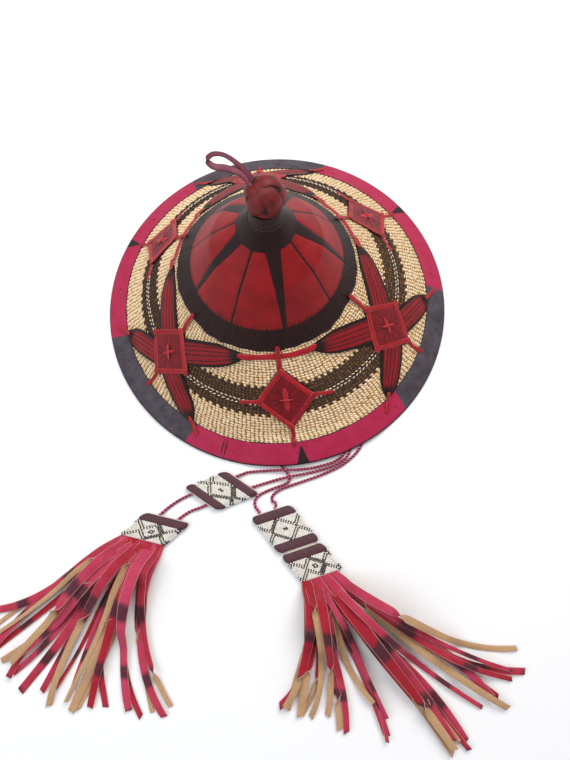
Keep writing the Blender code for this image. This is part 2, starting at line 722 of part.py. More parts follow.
def build_bridge(name, azimuth, material, collection):
    """Build the thong that runs round the hem above a patch, over the tips of the arms on both sides."""
    radius = HEM_RADIUS + BRIDGE_GAP
    over_arm = CLEARANCE + DRAPE_SAG + ARM_THICKNESS + ARM_CROWN + CLEARANCE
    rows = []
    for step in range(BRIDGE_SECTIONS + 1):
        turn = -BRIDGE_HALF_SPAN + 2 * BRIDGE_HALF_SPAN * step / BRIDGE_SECTIONS
        from_end = BRIDGE_HALF_SPAN - abs(turn)
        climb = 1.0 - smooth_step((from_end - BRIDGE_OVER_ARM) / BRIDGE_CLIMB)
        level = CLEARANCE + (over_arm - CLEARANCE) * climb
        row = []
        for sign in (-1.0, 1.0):
            row.append((turn, radius + sign * THONG_WIDTH / 2, level, level + THONG_THICKNESS))
        rows.append(row)

    def place(turn, reach, level):
        return on_hat(reach, azimuth + turn, level)

    return layered_piece(name, rows, place, material, collection)


def build_tab(name, azimuth, material, collection):
    """Build one leather tab on the inside of the brim, which a tie hangs from."""
    inner_radius = HEM_RADIUS - TAB_HEM_GAP
    rows = []
    for step in range(3):
        radius = inner_radius + TAB_LENGTH * step / 2
        row = []
        for sign in (-1.0, 0.0, 1.0):
            turn = math.degrees(sign * TAB_WIDTH / 2 / radius)
            top = -STRAW_WALL - TAB_CLEARANCE
            row.append((turn, radius, top - LEATHER_WALL, top))
        rows.append(row)

    def place(turn, radius, level):
        return on_hat(radius, azimuth + turn, level)

    return layered_piece(name, rows, place, material, collection)


def floor_frame(start, heading):
    """Return a function that sets across, along and height down on the floor from a start and a heading."""
    turn = Matrix.Rotation(math.radians(heading - 90.0), 3, "Z")
    origin = Vector((start[0], start[1], 0.0))

    def place(across, along, height):
        return origin + turn @ Vector((across, along, height))

    return place


def sleeve_rows(length, width, thickness, rolled_ends):
    """Return the stations of a flat beaded sleeve with rolled leather at one or both ends."""
    thin = thickness * BEADED_SHARE
    stations = [(0.0, thickness * 0.6), (0.0015, thickness), (ROLLED_END - 0.0015, thickness), (ROLLED_END, thin)]
    if rolled_ends == 2:
        stations.extend((length - place, height) for place, height in reversed(stations[:4]))
    else:
        stations.append((length, thin))
    rows = []
    for along, height in stations:
        row = []
        for share, round_off in ((-1.0, 0.3), (-0.9, 0.05), (0.0, 0.0), (0.9, 0.05), (1.0, 0.3)):
            underside = height * round_off + (thickness - height) * 0.05
            row.append((share * width / 2, along, underside, height * (1.0 - round_off)))
        rows.append(row)
    return rows


def build_slider(name, start, heading, width, material, collection):
    """Build one beaded leather slider, lying flat."""
    rows = sleeve_rows(SLIDER_LENGTH, width, SLIDER_THICKNESS, 2)
    piece = layered_piece(name, rows, floor_frame(start, heading), material, collection)
    shade_soft(piece)
    return piece


def lock_rows(place_root, heading, target, length, layer):
    """Return the stations of one fringe lock, which leaves the head and bends towards its end heading."""
    rows = []
    position = place_root.copy()
    step_length = length / LOCK_SECTIONS
    for step in range(LOCK_SECTIONS + 1):
        share = step / LOCK_SECTIONS
        angle = math.radians(heading + (target - heading) * (0.45 + 0.65 * share))
        forward = Vector((math.cos(angle), math.sin(angle)))
        side = Vector((-forward.y, forward.x))
        width = LOCK_WIDTH * (0.72 + 0.5 * smooth_step(share * 2.0) - 0.42 * share)
        drop = smooth_step(share * length / LOCK_DROP)
        underside = 0.0016 * (1.0 - drop) + layer
        row = []
        for sign, top_share in ((-1.0, 0.72), (0.0, 1.0), (1.0, 0.72)):
            spot = position + side * (sign * width / 2)
            row.append((spot.x, spot.y, underside, underside + LOCK_THICKNESS * top_share))
        rows.append(row)
        position += forward * step_length
    return rows


def as_placed(across, along, height):
    """Set a station down at its own coordinates."""
    return Vector((across, along, height))


def fuse(body, others):
    """Join pieces into one closed solid."""
    for other in others:
        union = body.modifiers.new("Join", "BOOLEAN")
        union.operation = "UNION"
        union.object = other
    body = settle(body)
    for other in others:
        bpy.data.objects.remove(other)
    return body


def build_tassel(name, start, heading, locks, material, collection):
    """Build a tassel: a beaded head with its fringe in locks, all one solid."""
    rows = sleeve_rows(HEAD_LENGTH, HEAD_WIDTH, HEAD_THICKNESS, 1)
    place = floor_frame(start, heading)
    head = layered_piece(name, rows, place, material, collection)
    pieces = []
    for number, (target, length, share) in enumerate(locks):
        # Seen along the heading, a root share of 1 is at the left of the head
        root = place(-share * (HEAD_WIDTH - LOCK_WIDTH) / 2, HEAD_LENGTH - 0.006, 0.0)
        layer = 0.0001 * number if number % 2 == 0 else 0.0018 + 0.0001 * number
        rows = lock_rows(root.xy, heading, target, length, layer)
        pieces.append(layered_piece(f"{name}_lock_{number}", rows, as_placed, material, collection))
    piece = fuse(head, pieces)
    shade_soft(piece)
    return piece


def main():
    """Build the hat."""
    for item in list(bpy.data.objects):
        bpy.data.objects.remove(item)
    collection = bpy.data.collections.new("conical_straw_hat")
    bpy.context.scene.collection.children.link(collection)

    straw = make_material("straw", (0.76, 0.53, 0.26), 0.75)
    red_leather = make_material("red_leather", (0.33, 0.02, 0.02), 0.45)
    dark_leather = make_material("dark_leather", (0.05, 0.015, 0.015), 0.5)
    pink_leather = make_material("pink_leather", (0.45, 0.02, 0.08), 0.45)
    cord_leather = make_material("cord_leather", (0.42, 0.05, 0.09), 0.6)
    beadwork = make_material("beadwork", (0.85, 0.82, 0.75), 0.3)
    suede = make_material("fringe_suede", (0.45, 0.04, 0.09), 0.7)

    build_straw_body(straw, collection)
    build_crown_cover(red_leather, collection)
    build_rim_binding(pink_leather, collection)
    build_neck_wrap(dark_leather, collection)
    build_top_knot(red_leather, collection)
    knot_middle = Vector((lean_at(KNOT_HEIGHT), 0.0, KNOT_HEIGHT))
    loop_points = [knot_middle + point for point in smooth_route(LOOP_ROUTE, LOOP_SPACING)]
    build_tube("hanging_loop", loop_points, LOOP_THICKNESS, red_leather, collection)

    inner, right, outer, left = patch_corners()
    gap = CLEARANCE * 1.5
    inner_end = Vector(polar_to_flat(HEM_RADIUS - INNER_THONG_OVERLAP, 0.0))
    outer_end = Vector(polar_to_flat(BAND_RADIUS + OUTER_THONG_OVERLAP, 0.0))
    over_bridge = THONG_THICKNESS + CLEARANCE
    for number, (azimuth, star) in enumerate(zip(PATCH_AZIMUTHS, PATCH_IS_STAR), start=1):
        build_patch(f"patch_{number}", azimuth, red_leather, collection)
        start = inner - Vector((0.0, gap))
        build_thong(f"inner_thong_{number}", azimuth, start, inner_end, 6, red_leather, collection, over_bridge)
        start = outer + Vector((0.0, gap))
        build_thong(f"outer_thong_{number}", azimuth, start, outer_end, 6, red_leather, collection)
        if star:
            for upper, level in ((True, "upper"), (False, "lower")):
                for mirrored, hand in ((False, "right"), (True, "left")):
                    name = f"{level}_arm_{number}_{hand}"
                    build_arm(name, azimuth, upper, mirrored, dark_leather, collection)
        else:
            build_bridge(f"hem_thong_{number}", azimuth, red_leather, collection)
            for sign, corner, hand in ((1.0, right, "right"), (-1.0, left, "left")):
                start = corner + Vector((sign * gap, 0.0))
                end = corner + Vector((sign * SIDE_THONG_LENGTH, 0.0))
                build_thong(f"side_thong_{number}_{hand}", azimuth, start, end, 3, red_leather, collection)

    build_tab("tie_tab_right", 0.0, dark_leather, collection)
    build_tab("tie_tab_left", 180.0, dark_leather, collection)
    routes = (
        ("right_tie_1", RIGHT_TIE_ONE_ROUTE),
        ("right_tie_2", RIGHT_TIE_TWO_ROUTE),
        ("left_tie_1", LEFT_TIE_ONE_ROUTE),
        ("left_tie_2", LEFT_TIE_TWO_ROUTE),
        ("head_cord_1", HEAD_CORD_ONE_ROUTE),
        ("head_cord_2", HEAD_CORD_TWO_ROUTE),
    )
    for name, route in routes:
        points = thin_straight_stretches(smooth_route(route, CORD_SPACING), CORD_DIAMETER * ROUTE_TOLERANCE)
        build_tube(name, points, CORD_DIAMETER, cord_leather, collection)

    build_slider("slider_left", LEFT_SLIDER_START, LEFT_SLIDER_HEADING, LEFT_SLIDER_WIDTH, beadwork, collection)
    build_slider("slider_right", RIGHT_SLIDER_START, RIGHT_SLIDER_HEADING, RIGHT_SLIDER_WIDTH, beadwork, collection)
    build_tassel("tassel_left", LEFT_HEAD_START, LEFT_HEAD_HEADING, LEFT_LOCKS, suede, collection)
    slider_frame = floor_frame(RIGHT_SLIDER_START, RIGHT_SLIDER_HEADING)
    head_start = slider_frame(0.0, SLIDER_LENGTH + CLEARANCE, 0.0)
    build_tassel("tassel_right", head_start, RIGHT_SLIDER_HEADING, RIGHT_LOCKS, suede, collection)


main()
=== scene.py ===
"""Dresses the conical straw hat: woven straw, dyed leather, beadwork, twisted ties and fringed tassels."""

import logging
import math
from collections.abc import Callable, Iterable, Sequence
from dataclasses import dataclass, field
from enum import Enum

import bpy
import numpy as np
from mathutils import Matrix, Vector


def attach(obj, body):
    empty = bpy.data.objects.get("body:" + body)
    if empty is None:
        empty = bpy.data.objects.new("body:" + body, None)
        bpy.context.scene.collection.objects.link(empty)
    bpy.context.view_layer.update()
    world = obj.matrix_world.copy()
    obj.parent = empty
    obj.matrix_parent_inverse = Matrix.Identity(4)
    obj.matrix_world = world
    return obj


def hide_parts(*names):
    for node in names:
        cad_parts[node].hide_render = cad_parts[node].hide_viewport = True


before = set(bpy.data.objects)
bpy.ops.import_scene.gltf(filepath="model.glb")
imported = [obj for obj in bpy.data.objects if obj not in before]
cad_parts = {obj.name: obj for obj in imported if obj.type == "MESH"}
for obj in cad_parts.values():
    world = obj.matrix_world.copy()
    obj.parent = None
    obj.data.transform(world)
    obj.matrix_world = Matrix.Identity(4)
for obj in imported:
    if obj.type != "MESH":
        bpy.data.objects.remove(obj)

log = logging.getLogger("straw_hat")
MM = 0.001

Piece = bpy.types.Object
Material = bpy.types.Material
Socket = bpy.types.NodeSocket
Array = np.ndarray
Point = tuple[float, float, float]
Route = tuple[Point, ...]


# Helpers


def linear(code: str) -> tuple[float, ...]:
    """Turn an sRGB hex colour into linear RGBA.

    Args:
        code: The colour as six hex digits.

    Returns:
        Linear red, green and blue, with an alpha of 1.
    """
    channels = [int(code[start:start + 2], 16) / 255 for start in (0, 2, 4)]
    scaled = [value / 12.92 if value <= 0.04045 else ((value + 0.055) / 1.055) ** 2.4 for value in channels]
    return (*scaled, 1.0)


def unit(vectors: Array) -> Array:
    """Return each vector's direction, with a length of 1."""
    return vectors / np.linalg.norm(vectors, axis=-1, keepdims=True)


def smooth_step(value: Array) -> Array:
    """Return 0 to 1 with level ends."""
    value = np.clip(value, 0.0, 1.0)
    return value * value * (3.0 - 2.0 * value)


def deselect_all() -> None:
    """Leave edit mode and clear the selection."""
    if bpy.context.mode != "OBJECT":
        bpy.ops.object.mode_set(mode="OBJECT")
    bpy.ops.object.select_all(action="DESELECT")


def make_active(piece: Piece) -> None:
    """Select one object alone and make it the active one."""
    deselect_all()
    piece.select_set(True)
    bpy.context.view_layer.objects.active = piece


def read_points(piece: Piece) -> Array:
    """Return a mesh's vertex places as an array with a row for each vertex."""
    points = np.empty(len(piece.data.vertices) * 3)
    piece.data.vertices.foreach_get("co", points)
    return points.reshape(-1, 3)


def write_points(piece: Piece, points: Array) -> None:
    """Give a mesh's vertices new places, a row for each vertex."""
    piece.data.vertices.foreach_set("co", points.ravel())
    piece.data.update()


def give_attribute(piece: Piece, name: str, values: Array) -> None:
    """Store a value or a vector for each vertex, for a material to read.

    Args:
        piece: The object whose mesh gets the attribute.
        name: The attribute's name.
        values: One number or one vector for each vertex.
    """
    kind = "FLOAT" if values.ndim == 1 else "FLOAT_VECTOR"
    attribute = piece.data.attributes.new(name, kind, "POINT")
    attribute.data.foreach_set("value" if values.ndim == 1 else "vector", values.astype(np.float32).ravel())


def sheet(
    name: str, places: Array, closed: tuple[bool, bool] = (True, False), **marks: Array | float
) -> Piece:
    """Model a sheet of faces over a table of places.

    Args:
        name: The object's name.
        places: The places by row and by column.
        closed: Whether the last column joins the first, and whether the last row does.
        marks: Attributes by name, with a value or a vector for each place, or for a row or column of them.

    Returns:
        The sheet, with its seams not yet merged.
    """
    rows, columns = places.shape[:2]
    across, along = columns - 1 + closed[0], rows - 1 + closed[1]
    deselect_all()
    middle = (0.5, 0.5, 0.0)
    bpy.ops.mesh.primitive_grid_add(x_subdivisions=across, y_subdivisions=along, size=1.0, location=middle)
    bpy.ops.object.transform_apply(location=True, rotation=True, scale=True)
    piece = bpy.context.active_object
    piece.name = name
    piece.data.name = name
    grid = read_points(piece)
    column = np.rint(grid[:, 0] * across).astype(int) % columns
    row = np.rint(grid[:, 1] * along).astype(int) % rows
    write_points(piece, places[row, column])
    for mark, values in marks.items():
        values = np.asarray(values)
        give_attribute(piece, mark, np.broadcast_to(values, (rows, columns, *values.shape[2:]))[row, column])
    return piece


def thicken(piece: Piece, wall: float) -> None:
    """Turn an open surface into a wall behind it.

    Args:
        piece: The open surface.
        wall: The wall's thickness.
    """
    make_active(piece)
    modifier = piece.modifiers.new("Wall", "SOLIDIFY")
    modifier.thickness = wall
    modifier.use_even_offset = True
    bpy.ops.object.modifier_apply(modifier=modifier.name)


def mend(piece: Piece, fill: bool = False) -> None:
    """Merge a piece's doubled vertices and turn its faces outwards.

    Args:
        piece: The object to mend.
        fill: Whether its open ends are closed too.
    """
    make_active(piece)
    bpy.ops.object.mode_set(mode="EDIT")
    bpy.ops.mesh.select_all(action="SELECT")
    bpy.ops.mesh.remove_doubles(threshold=0.000001)
    if fill:
        bpy.ops.mesh.fill_holes(sides=0)
    bpy.ops.mesh.normals_make_consistent(inside=False)
    bpy.ops.object.mode_set(mode="OBJECT")


def shade_soft(piece: Piece, angle: float = 40.0) -> None:
    """Shade a piece smooth, but for edges sharper than an angle in degrees."""
    make_active(piece)
    bpy.ops.object.shade_smooth_by_angle(angle=math.radians(angle))


def join_pieces(name: str, pieces: Sequence[Piece]) -> Piece:
    """Join objects into one.

    Args:
        name: The joined object's name.
        pieces: The objects, of which the first one stays.

    Returns:
        The joined object.
    """
    make_active(pieces[0])
    for piece in pieces[1:]:
        piece.select_set(True)
    if len(pieces) > 1:
        bpy.ops.object.join()
    pieces[0].name = name
    pieces[0].data.name = name
    return pieces[0]


def copies_of(template: Piece, name: str, frames: Array) -> Piece:
    """Join copies of one small shape, each set in its own frame, and remove the shape.

    Args:
        template: The shape, modelled round the origin.
        name: The new object's name.
        frames: A 4 by 4 matrix for each copy.

    Returns:
        The new object, whose vertices come copy by copy.
    """
    base = read_points(template)
    corners = [tuple(face.vertices) for face in template.data.polygons]
    placed = np.einsum("nij,vj->nvi", frames[:, :3, :3], base) + frames[:, None, :3, 3]
    faces = [
        tuple(corner + copy * len(base) for corner in face) for copy in range(len(frames)) for face in corners
    ]
    mesh = bpy.data.meshes.new(name)
    mesh.from_pydata(placed.reshape(-1, 3).tolist(), [], faces)
    mesh.shade_smooth()
    piece = bpy.data.objects.new(name, mesh)
    bpy.context.scene.collection.objects.link(piece)
    bpy.data.objects.remove(template)
    return piece


def dress(piece: Piece, material: Material) -> None:
    """Give a piece one material and no other."""
    piece.data.materials.clear()
    piece.data.materials.append(material)


def finish_piece(piece: Piece, material: Material, nodes: Iterable[str] = ()) -> Piece:
    """Dress a piece, put it on the hat's one body and hide the plain solids that it stands for.

    Args:
        piece: The finished object.
        material: Its material.
        nodes: The plain solids that it stands for.

    Returns:
        The same object.
    """
    dress(piece, material)
    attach(piece, "root")
    if nodes:
        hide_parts(*nodes)
    log.info("%s: %d faces", piece.name, len(piece.data.polygons))
    return piece


def distances(points: Array) -> Array:
    """Return each point's distance along the line through the points."""
    return np.concatenate([[0.0], np.cumsum(np.linalg.norm(np.diff(points, axis=0), axis=1))])


def catmull(points: Array, spacing: float) -> Array:
    """Read evenly spaced points from the smooth curve through a route's own points.

    Args:
        points: The route's points, a row for each.
        spacing: The distance between the points read.

    Returns:
        The points read, the route's two ends among them.
    """
    padded = np.vstack([points[0], points, points[-1]])
    share = np.linspace(0.0, 1.0, 24, endpoint=False)[:, None]
    fine = []
    for index in range(len(points) - 1):
        before, start, end, after = padded[index:index + 4]
        fine.append(0.5 * (
            2.0 * start
            + (end - before) * share
            + (2.0 * before - 5.0 * start + 4.0 * end - after) * share ** 2
            + (3.0 * start - before - 3.0 * end + after) * share ** 3
        ))
    curve = np.vstack([*fine, points[-1]])
    along = distances(curve)
    stations = np.linspace(0.0, along[-1], max(2, round(along[-1] / spacing)) + 1)
    return np.stack([np.interp(stations, along, curve[:, axis]) for axis in range(3)], axis=1)


@dataclass(frozen=True)
class HatForm:
    """The cone that every piece lies on, with the sizes of the plain solids, in metres."""

    rim_radius: float = 0.215
    rim_edge_height: float = 0.003
    band_radius: float = 0.19
    band_edge_height: float = 0.015
    hem_radius: float = 0.102
    hem_height: float = 0.0905
    border_radius: float = 0.083
    border_height: float = 0.1093
    collar_radius: float = 0.028
    collar_height: float = 0.1755
    crown_bulge: float = 0.003
    neck_radius: float = 0.0135
    neck_height: float = 0.195
    straw_wall: float = 0.003
    leather_wall: float = 0.0015
    clearance: float = 0.0003
    knot_height: float = 0.225
    patch_margin: float = 0.015
    patch_width: float = 0.068
    lean_heights: tuple[float, ...] = (0.067, 0.41, 0.5, 1.0)
    lean_shifts: tuple[float, ...] = (0.0, -0.008, -0.0066, -0.0024)
    arch_rise: float = 0.0036
    arch_azimuth: float = -78.5
    arch_flat: float = 17.0
    arch_end: float = 27.0
    arch_inner_margin: float = 0.035

    @property
    def skin(self) -> float:
        """Level of the leather's outer side above the straw."""
        return self.leather_wall + self.clearance

    @property
    def band_slope(self) -> float:
        """Rise of the sloping band for each metre towards the axis."""
        return (self.band_edge_height - self.rim_edge_height) / (self.rim_radius - self.band_radius)

    @property
    def band_stretch(self) -> float:
        """Length along the sloping band for each metre of radius."""
        return math.hypot(1.0, self.band_slope)

    @property
    def brim_slope(self) -> float:
        """Slope of the brim between the band and the hem, in radians."""
        rise = self.hem_height - self.band_edge_height + self.skin * self.band_stretch
        return math.atan2(rise, self.band_radius - self.hem_radius)

    @property
    def patch_radius(self) -> float:
        """Radius at the middle of a patch."""
        return (self.band_radius + self.hem_radius) / 2

    @property
    def patch_half_length(self) -> float:
        """Half of a patch's slant length, from corner to corner."""
        return (self.band_radius - self.hem_radius - 2 * self.patch_margin) / 2 / math.cos(self.brim_slope)

    def profile(self) -> Array:
        """Return the straw's outer surface as rows of radius and height, from the neck to the rim."""
        middle_radius = (self.border_radius + self.collar_radius) / 2 + self.crown_bulge
        middle_height = (self.border_height + self.collar_height) / 2 + self.crown_bulge
        drop = self.skin * self.band_stretch
        return np.array([
            (self.neck_radius, self.neck_height),
            (self.collar_radius, self.collar_height),
            (middle_radius, middle_height),
            (self.border_radius, self.border_height),
            (self.hem_radius, self.hem_height),
            (self.band_radius, self.band_edge_height - drop),
            (self.rim_radius, self.rim_edge_height - drop),
        ])

    def height(self, radius: Array) -> Array:
        """Return the straw surface's height at each radius."""
        table = self.profile()
        return np.interp(radius, table[:, 0], table[:, 1])

    def normal(self, radius: Array, blur: float = 0.004) -> tuple[Array, Array]:
        """Find the surface's outward normal, eased over the bends of the profile.

        Args:
            radius: Where it is wanted.
            blur: Distance over which a bend is eased.

        Returns:
            The normal's shares along the radius and upwards.
        """
        slope = (self.height(radius - blur) - self.height(radius + blur)) / (2 * blur)
        length = np.hypot(1.0, slope)
        return slope / length, 1.0 / length

    def lean(self, height: Array) -> Array:
        """Return the sideways shift of the hat's axis at each height."""
        return np.interp(height / self.knot_height, self.lean_heights, self.lean_shifts)

    def arch(self, radius: Array, azimuth: Array) -> Array:
        """Return how far the brim bows up over the ties, at each place."""
        turn = np.abs((azimuth - self.arch_azimuth + 180.0) % 360.0 - 180.0)
        across = 1.0 - smooth_step((turn - self.arch_flat) / (self.arch_end - self.arch_flat))
        inner = self.rim_radius - self.arch_inner_margin
        return self.arch_rise * across * smooth_step((radius - inner) / (self.band_radius - inner))

    def band_top(self, radius: Array) -> Array:
        """Return the height of the rim band's outer side at each radius."""
        return self.rim_edge_height + self.band_slope * (self.rim_radius - radius)

    def around(self, reach: Array, azimuth: Array, height: Array, rise: Array | float = 0.0) -> Array:
        """Put points round the hat's leaning axis.

        Args:
            reach: Distance from the axis.
            azimuth: Degrees anticlockwise from +X.
            height: Height before the brim bows up.
            rise: How far the brim bows up there.

        Returns:
            The places.
        """
        turn = np.radians(azimuth)
        parts = (reach * np.cos(turn) + self.lean(height), reach * np.sin(turn), height + rise)
        return np.stack(np.broadcast_arrays(*parts), axis=-1)

    def place(self, radius: Array, azimuth: Array, level: Array) -> Array:
        """Put points on the straw.

        Args:
            radius: Distance from the axis, along the straw surface.
            azimuth: Degrees anticlockwise from +X.
            level: Height above the straw, along its normal.

        Returns:
            The places.
        """
        along, upward = self.normal(radius)
        height = self.height(radius) + upward * level
        return self.around(radius + along * level, azimuth, height, self.arch(radius, azimuth))

    def on_band(self, radius: Array, azimuth: Array) -> Array:
        """Return places on the rim band's outer side."""
        return self.around(radius, azimuth, self.band_top(radius), self.arch(radius, azimuth))

    def unroll(self, flat: Array) -> tuple[Array, Array]:
        """Turn places across and outward on a flat layout round a patch's middle into radius and turn.

        Args:
            flat: The places.

        Returns:
            The radius, and the turn in degrees.
        """
        cosine = math.cos(self.brim_slope)
        across, reach = flat[..., 0], self.patch_radius / cosine + flat[..., 1]
        return np.hypot(across, reach) * cosine, np.degrees(np.arctan2(across, reach)) / cosine

    def flatten(self, radius: float, turn: float) -> Array:
        """Return the flat layout's place for a radius and a turn in degrees."""
        cosine = math.cos(self.brim_slope)
        angle = math.radians(turn * cosine)
        return np.array([math.sin(angle) * radius, math.cos(angle) * radius - self.patch_radius]) / cosine

    def drape(self, azimuth: float, flat: Array, level: Array) -> Array:
        """Lay places across and outward on a flat layout, with levels, over the brim at an azimuth."""
        radius, turn = self.unroll(flat)
        return self.place(radius, azimuth + turn, level)


FORM = HatForm()

WEAVE_TOP = 0.0009
PANEL_WALL = 0.0012
STRIP_WALL = 0.0012
# Cross-section of a leather strip: place across the width and place through the wall, both from -1 to 1
STRIP_SECTION = np.array([
    (-0.84, 1.0), (0.0, 1.12), (0.84, 1.0), (0.98, 0.55), (0.98, -0.55),
    (0.84, -1.0), (0.0, -1.0), (-0.84, -1.0), (-0.98, -0.55), (-0.98, 0.55),
])


def loft(name: str, stations: Array, **marks: Array | float) -> Piece:
    """Skin a row of closed cross-sections and close both ends.

    Args:
        name: The object's name.
        stations: Points by station and by place round the cross-section.
        marks: Attributes by name.

    Returns:
        The closed solid.
    """
    piece = sheet(name, stations, **marks)
    mend(piece, fill=True)
    shade_soft(piece, 50.0)
    return piece


def loft_strip(
    name: str, stations: Array, tone: float, section: Array = STRIP_SECTION, **marks: Array
) -> Piece:
    """Skin a strip of leather, whose materials read its shade and the places across and through it."""
    return loft(name, stations, across=section[:, 0], through=section[:, 1], tone=tone, **marks)


def strip_stations(middle: Array, side: Array, lift: Array, width: Array, wall: float) -> Array:
    """Work out the cross-sections of a strip of leather.

    Args:
        middle: The strip's middle line, a row for each station.
        side: Unit vectors across the strip.
        lift: Unit vectors through it.
        width: Its width at each station.
        wall: Its thickness.

    Returns:
        Points by station and by place round the cross-section.
    """
    across = side[:, None] * (STRIP_SECTION[:, :1] * width[:, None, None] / 2)
    through = lift[:, None] * (STRIP_SECTION[:, 1:] * wall / 2)
    return middle[:, None] + across + through


def draped_strip(name: str, azimuth: float, middle: Array, width: Array, base: Array, tone: float) -> Piece:
    """Model one strip of leather that lies over the brim.

    Args:
        name: The object's name.
        azimuth: Azimuth of the flat layout's middle line.
        middle: Places across and outward of the strip's middle line.
        width: Its width at each station.
        base: Level of its underside at each station.
        tone: Its own shade of the dye.

    Returns:
        The strip.
    """
    side = unit(np.gradient(middle, axis=0))[:, ::-1] * (1.0, -1.0)
    flat = middle[:, None] + side[:, None] * (STRIP_SECTION[:, :1] * width[:, None, None] / 2)
    level = base[:, None] + STRIP_WALL * (STRIP_SECTION[:, 1] + 1.0) / 2
    return loft_strip(name, FORM.drape(azimuth, flat, level), tone)


def lay_stitches(
    name: str,
    surface: Callable[[Array, Array], Array],
    radius: Array,
    azimuth: Array,
    slant: Array,
    sizes: Sequence[Array | float],
    subdivisions: int = 1,
    lift: float = 0.0,
) -> tuple[Piece, Array]:
    """Lay low balls on a surface as stitches.

    Args:
        name: The object's name.
        surface: Gives the places for radii and azimuths.
        radius: Each stitch's distance from the axis.
        azimuth: Its azimuth.
        slant: How far its length is turned from the way round to the way down, in degrees.
        sizes: Half its length, its width and its depth.
        subdivisions: How finely a ball is divided.
        lift: How far above the surface its middle lies.

    Returns:
        The stitches as one object, and the vertices of one ball.
    """
    middle = surface(radius, azimuth)
    ahead = unit(surface(radius, azimuth + 0.2) - middle)
    down = unit(surface(radius + 0.0005, azimuth) - middle)
    out = np.cross(down, ahead)
    turn = np.radians(slant)[:, None]
    along = ahead * np.cos(turn) + down * np.sin(turn)
    frames = np.zeros((len(middle), 4, 4))
    for index, (axis, size) in enumerate(zip((along, np.cross(out, along), out), sizes)):
        frames[:, :3, index] = axis * np.reshape(size, (-1, 1))
    frames[:, :3, 3] = middle + out * lift
    deselect_all()
    bpy.ops.mesh.primitive_ico_sphere_add(subdivisions=subdivisions, radius=1.0)
    ball = bpy.context.active_object
    base = read_points(ball)
    return copies_of(ball, name, frames), base


# Finishes


class Surface:
    """A material under construction: one Principled BSDF and the nodes that feed it."""

    def __init__(self, name: str, ior: float, roughness: float, shine: float = 0.28) -> None:
        """Start the material.

        Args:
            name: The material's name.
            ior: Its index of refraction.
            roughness: Its roughness.
            shine: Its specular level, low for fibres and for old, rubbed hide.
        """
        self.material = bpy.data.materials.new(name)
        self.material.use_nodes = True
        self.tree = self.material.node_tree
        self.shader = self.tree.nodes["Principled BSDF"]
        self.shader.inputs["IOR"].default_value = ior
        self.shader.inputs["Roughness"].default_value = roughness
        self.shader.inputs["Specular IOR Level"].default_value = shine
        self.position = self.node("TexCoord", out="Object")

    def node(self, kind: str, *inputs: object, out: int | str = 0, **settings: object) -> Socket:
        """Add one shader node.

        Args:
            kind: The node's type name, without ShaderNode before it.
            inputs: Its inputs in order: numbers, hex colours, sockets, names of attributes after an at sign,
                or None to leave one as it is.
            out: The output to return, by its number or name.
            settings: Properties of the node, and inputs by name where the name has a capital.

        Returns:
            That output.
        """
        node = self.tree.nodes.new(f"ShaderNode{kind}")
        pairs = list(zip(node.inputs, inputs))
        for key, value in settings.items():
            if key[0].isupper():
                pairs.append((node.inputs[key.replace("_", " ")], value))
            else:
                setattr(node, key, value)
        for socket, value in pairs:
            if isinstance(value, str) and value.startswith("@"):
                value = self.node("Attribute", attribute_name=value[1:], out="Fac")
            if isinstance(value, Socket):
                self.tree.links.new(value, socket)
            elif value is not None:
                socket.default_value = linear(value) if isinstance(value, str) else value
        return node.outputs[out]

    def finish(self, color: Socket, height: Socket, depth_mm: float) -> Material:
        """Link the colour and a relief to the shader.

        Args:
            color: The base colour.
            height: The relief, from 0 to about 1.
            depth_mm: Depth of the relief.

        Returns:
            The material.
        """
        bump = self.node("Bump", Strength=0.8, Distance=depth_mm * MM, Height=height)
        self.tree.links.new(color, self.shader.inputs["Base Color"])
        self.tree.links.new(bump, self.shader.inputs["Normal"])
        return self.material

    def hide(self, crease_mm: float) -> Socket:
        """Return the relief of tanned hide: fine pores, and creases of a size in millimetres."""
        pores = self.node("TexVoronoi", self.position, None, 1300.0, feature="SMOOTH_F1")
        crease = self.node("TexNoise", self.position, None, 1000 / crease_mm, 5.0, 0.6)
        return self.node("Math", crease, 1.6, pores, operation="MULTIPLY_ADD")


@dataclass(frozen=True)
class TwinedStraw:
    """Split grass stems, dry and matt: a warm tan that varies from stitch to stitch, with dyed rows."""

    pale: str = "F9E4C0"
    tan: str = "EBC795"
    ripe: str = "CC9F68"
    dyed: str = "301E1A"
    dyed_light: str = "5A423A"
    cream: str = "F4E6CC"

    def build(self) -> Material:
        """Return the material."""
        surface = Surface("twined_straw", 1.45, 0.65)
        node = surface.node
        # A shade for each stitch keeps the rows from looking printed, and fine fibres run along the stem
        stem = node("Attribute", attribute_name="stem", out="Vector")
        fibre = node("TexNoise", stem, None, 2000.0, 3.0, 0.7)
        lower = node("MixRGB", node("MapRange", "@tone", 0.0, 0.4), self.ripe, self.tan)
        stitch = node("MixRGB", node("MapRange", "@tone", 0.35, 0.9), lower, self.pale)
        streaked = node("MixRGB", node("MapRange", fibre, 0.35, 0.7, 0.0, 0.35), stitch, self.ripe)
        dyed = node("MixRGB", node("MapRange", fibre, 0.4, 0.75), self.dyed, self.dyed_light)
        colored = node("MixRGB", "@dye", streaked, dyed)
        lit = node("MixRGB", "@cream", colored, self.cream)
        return surface.finish(lit, fibre, 0.15)


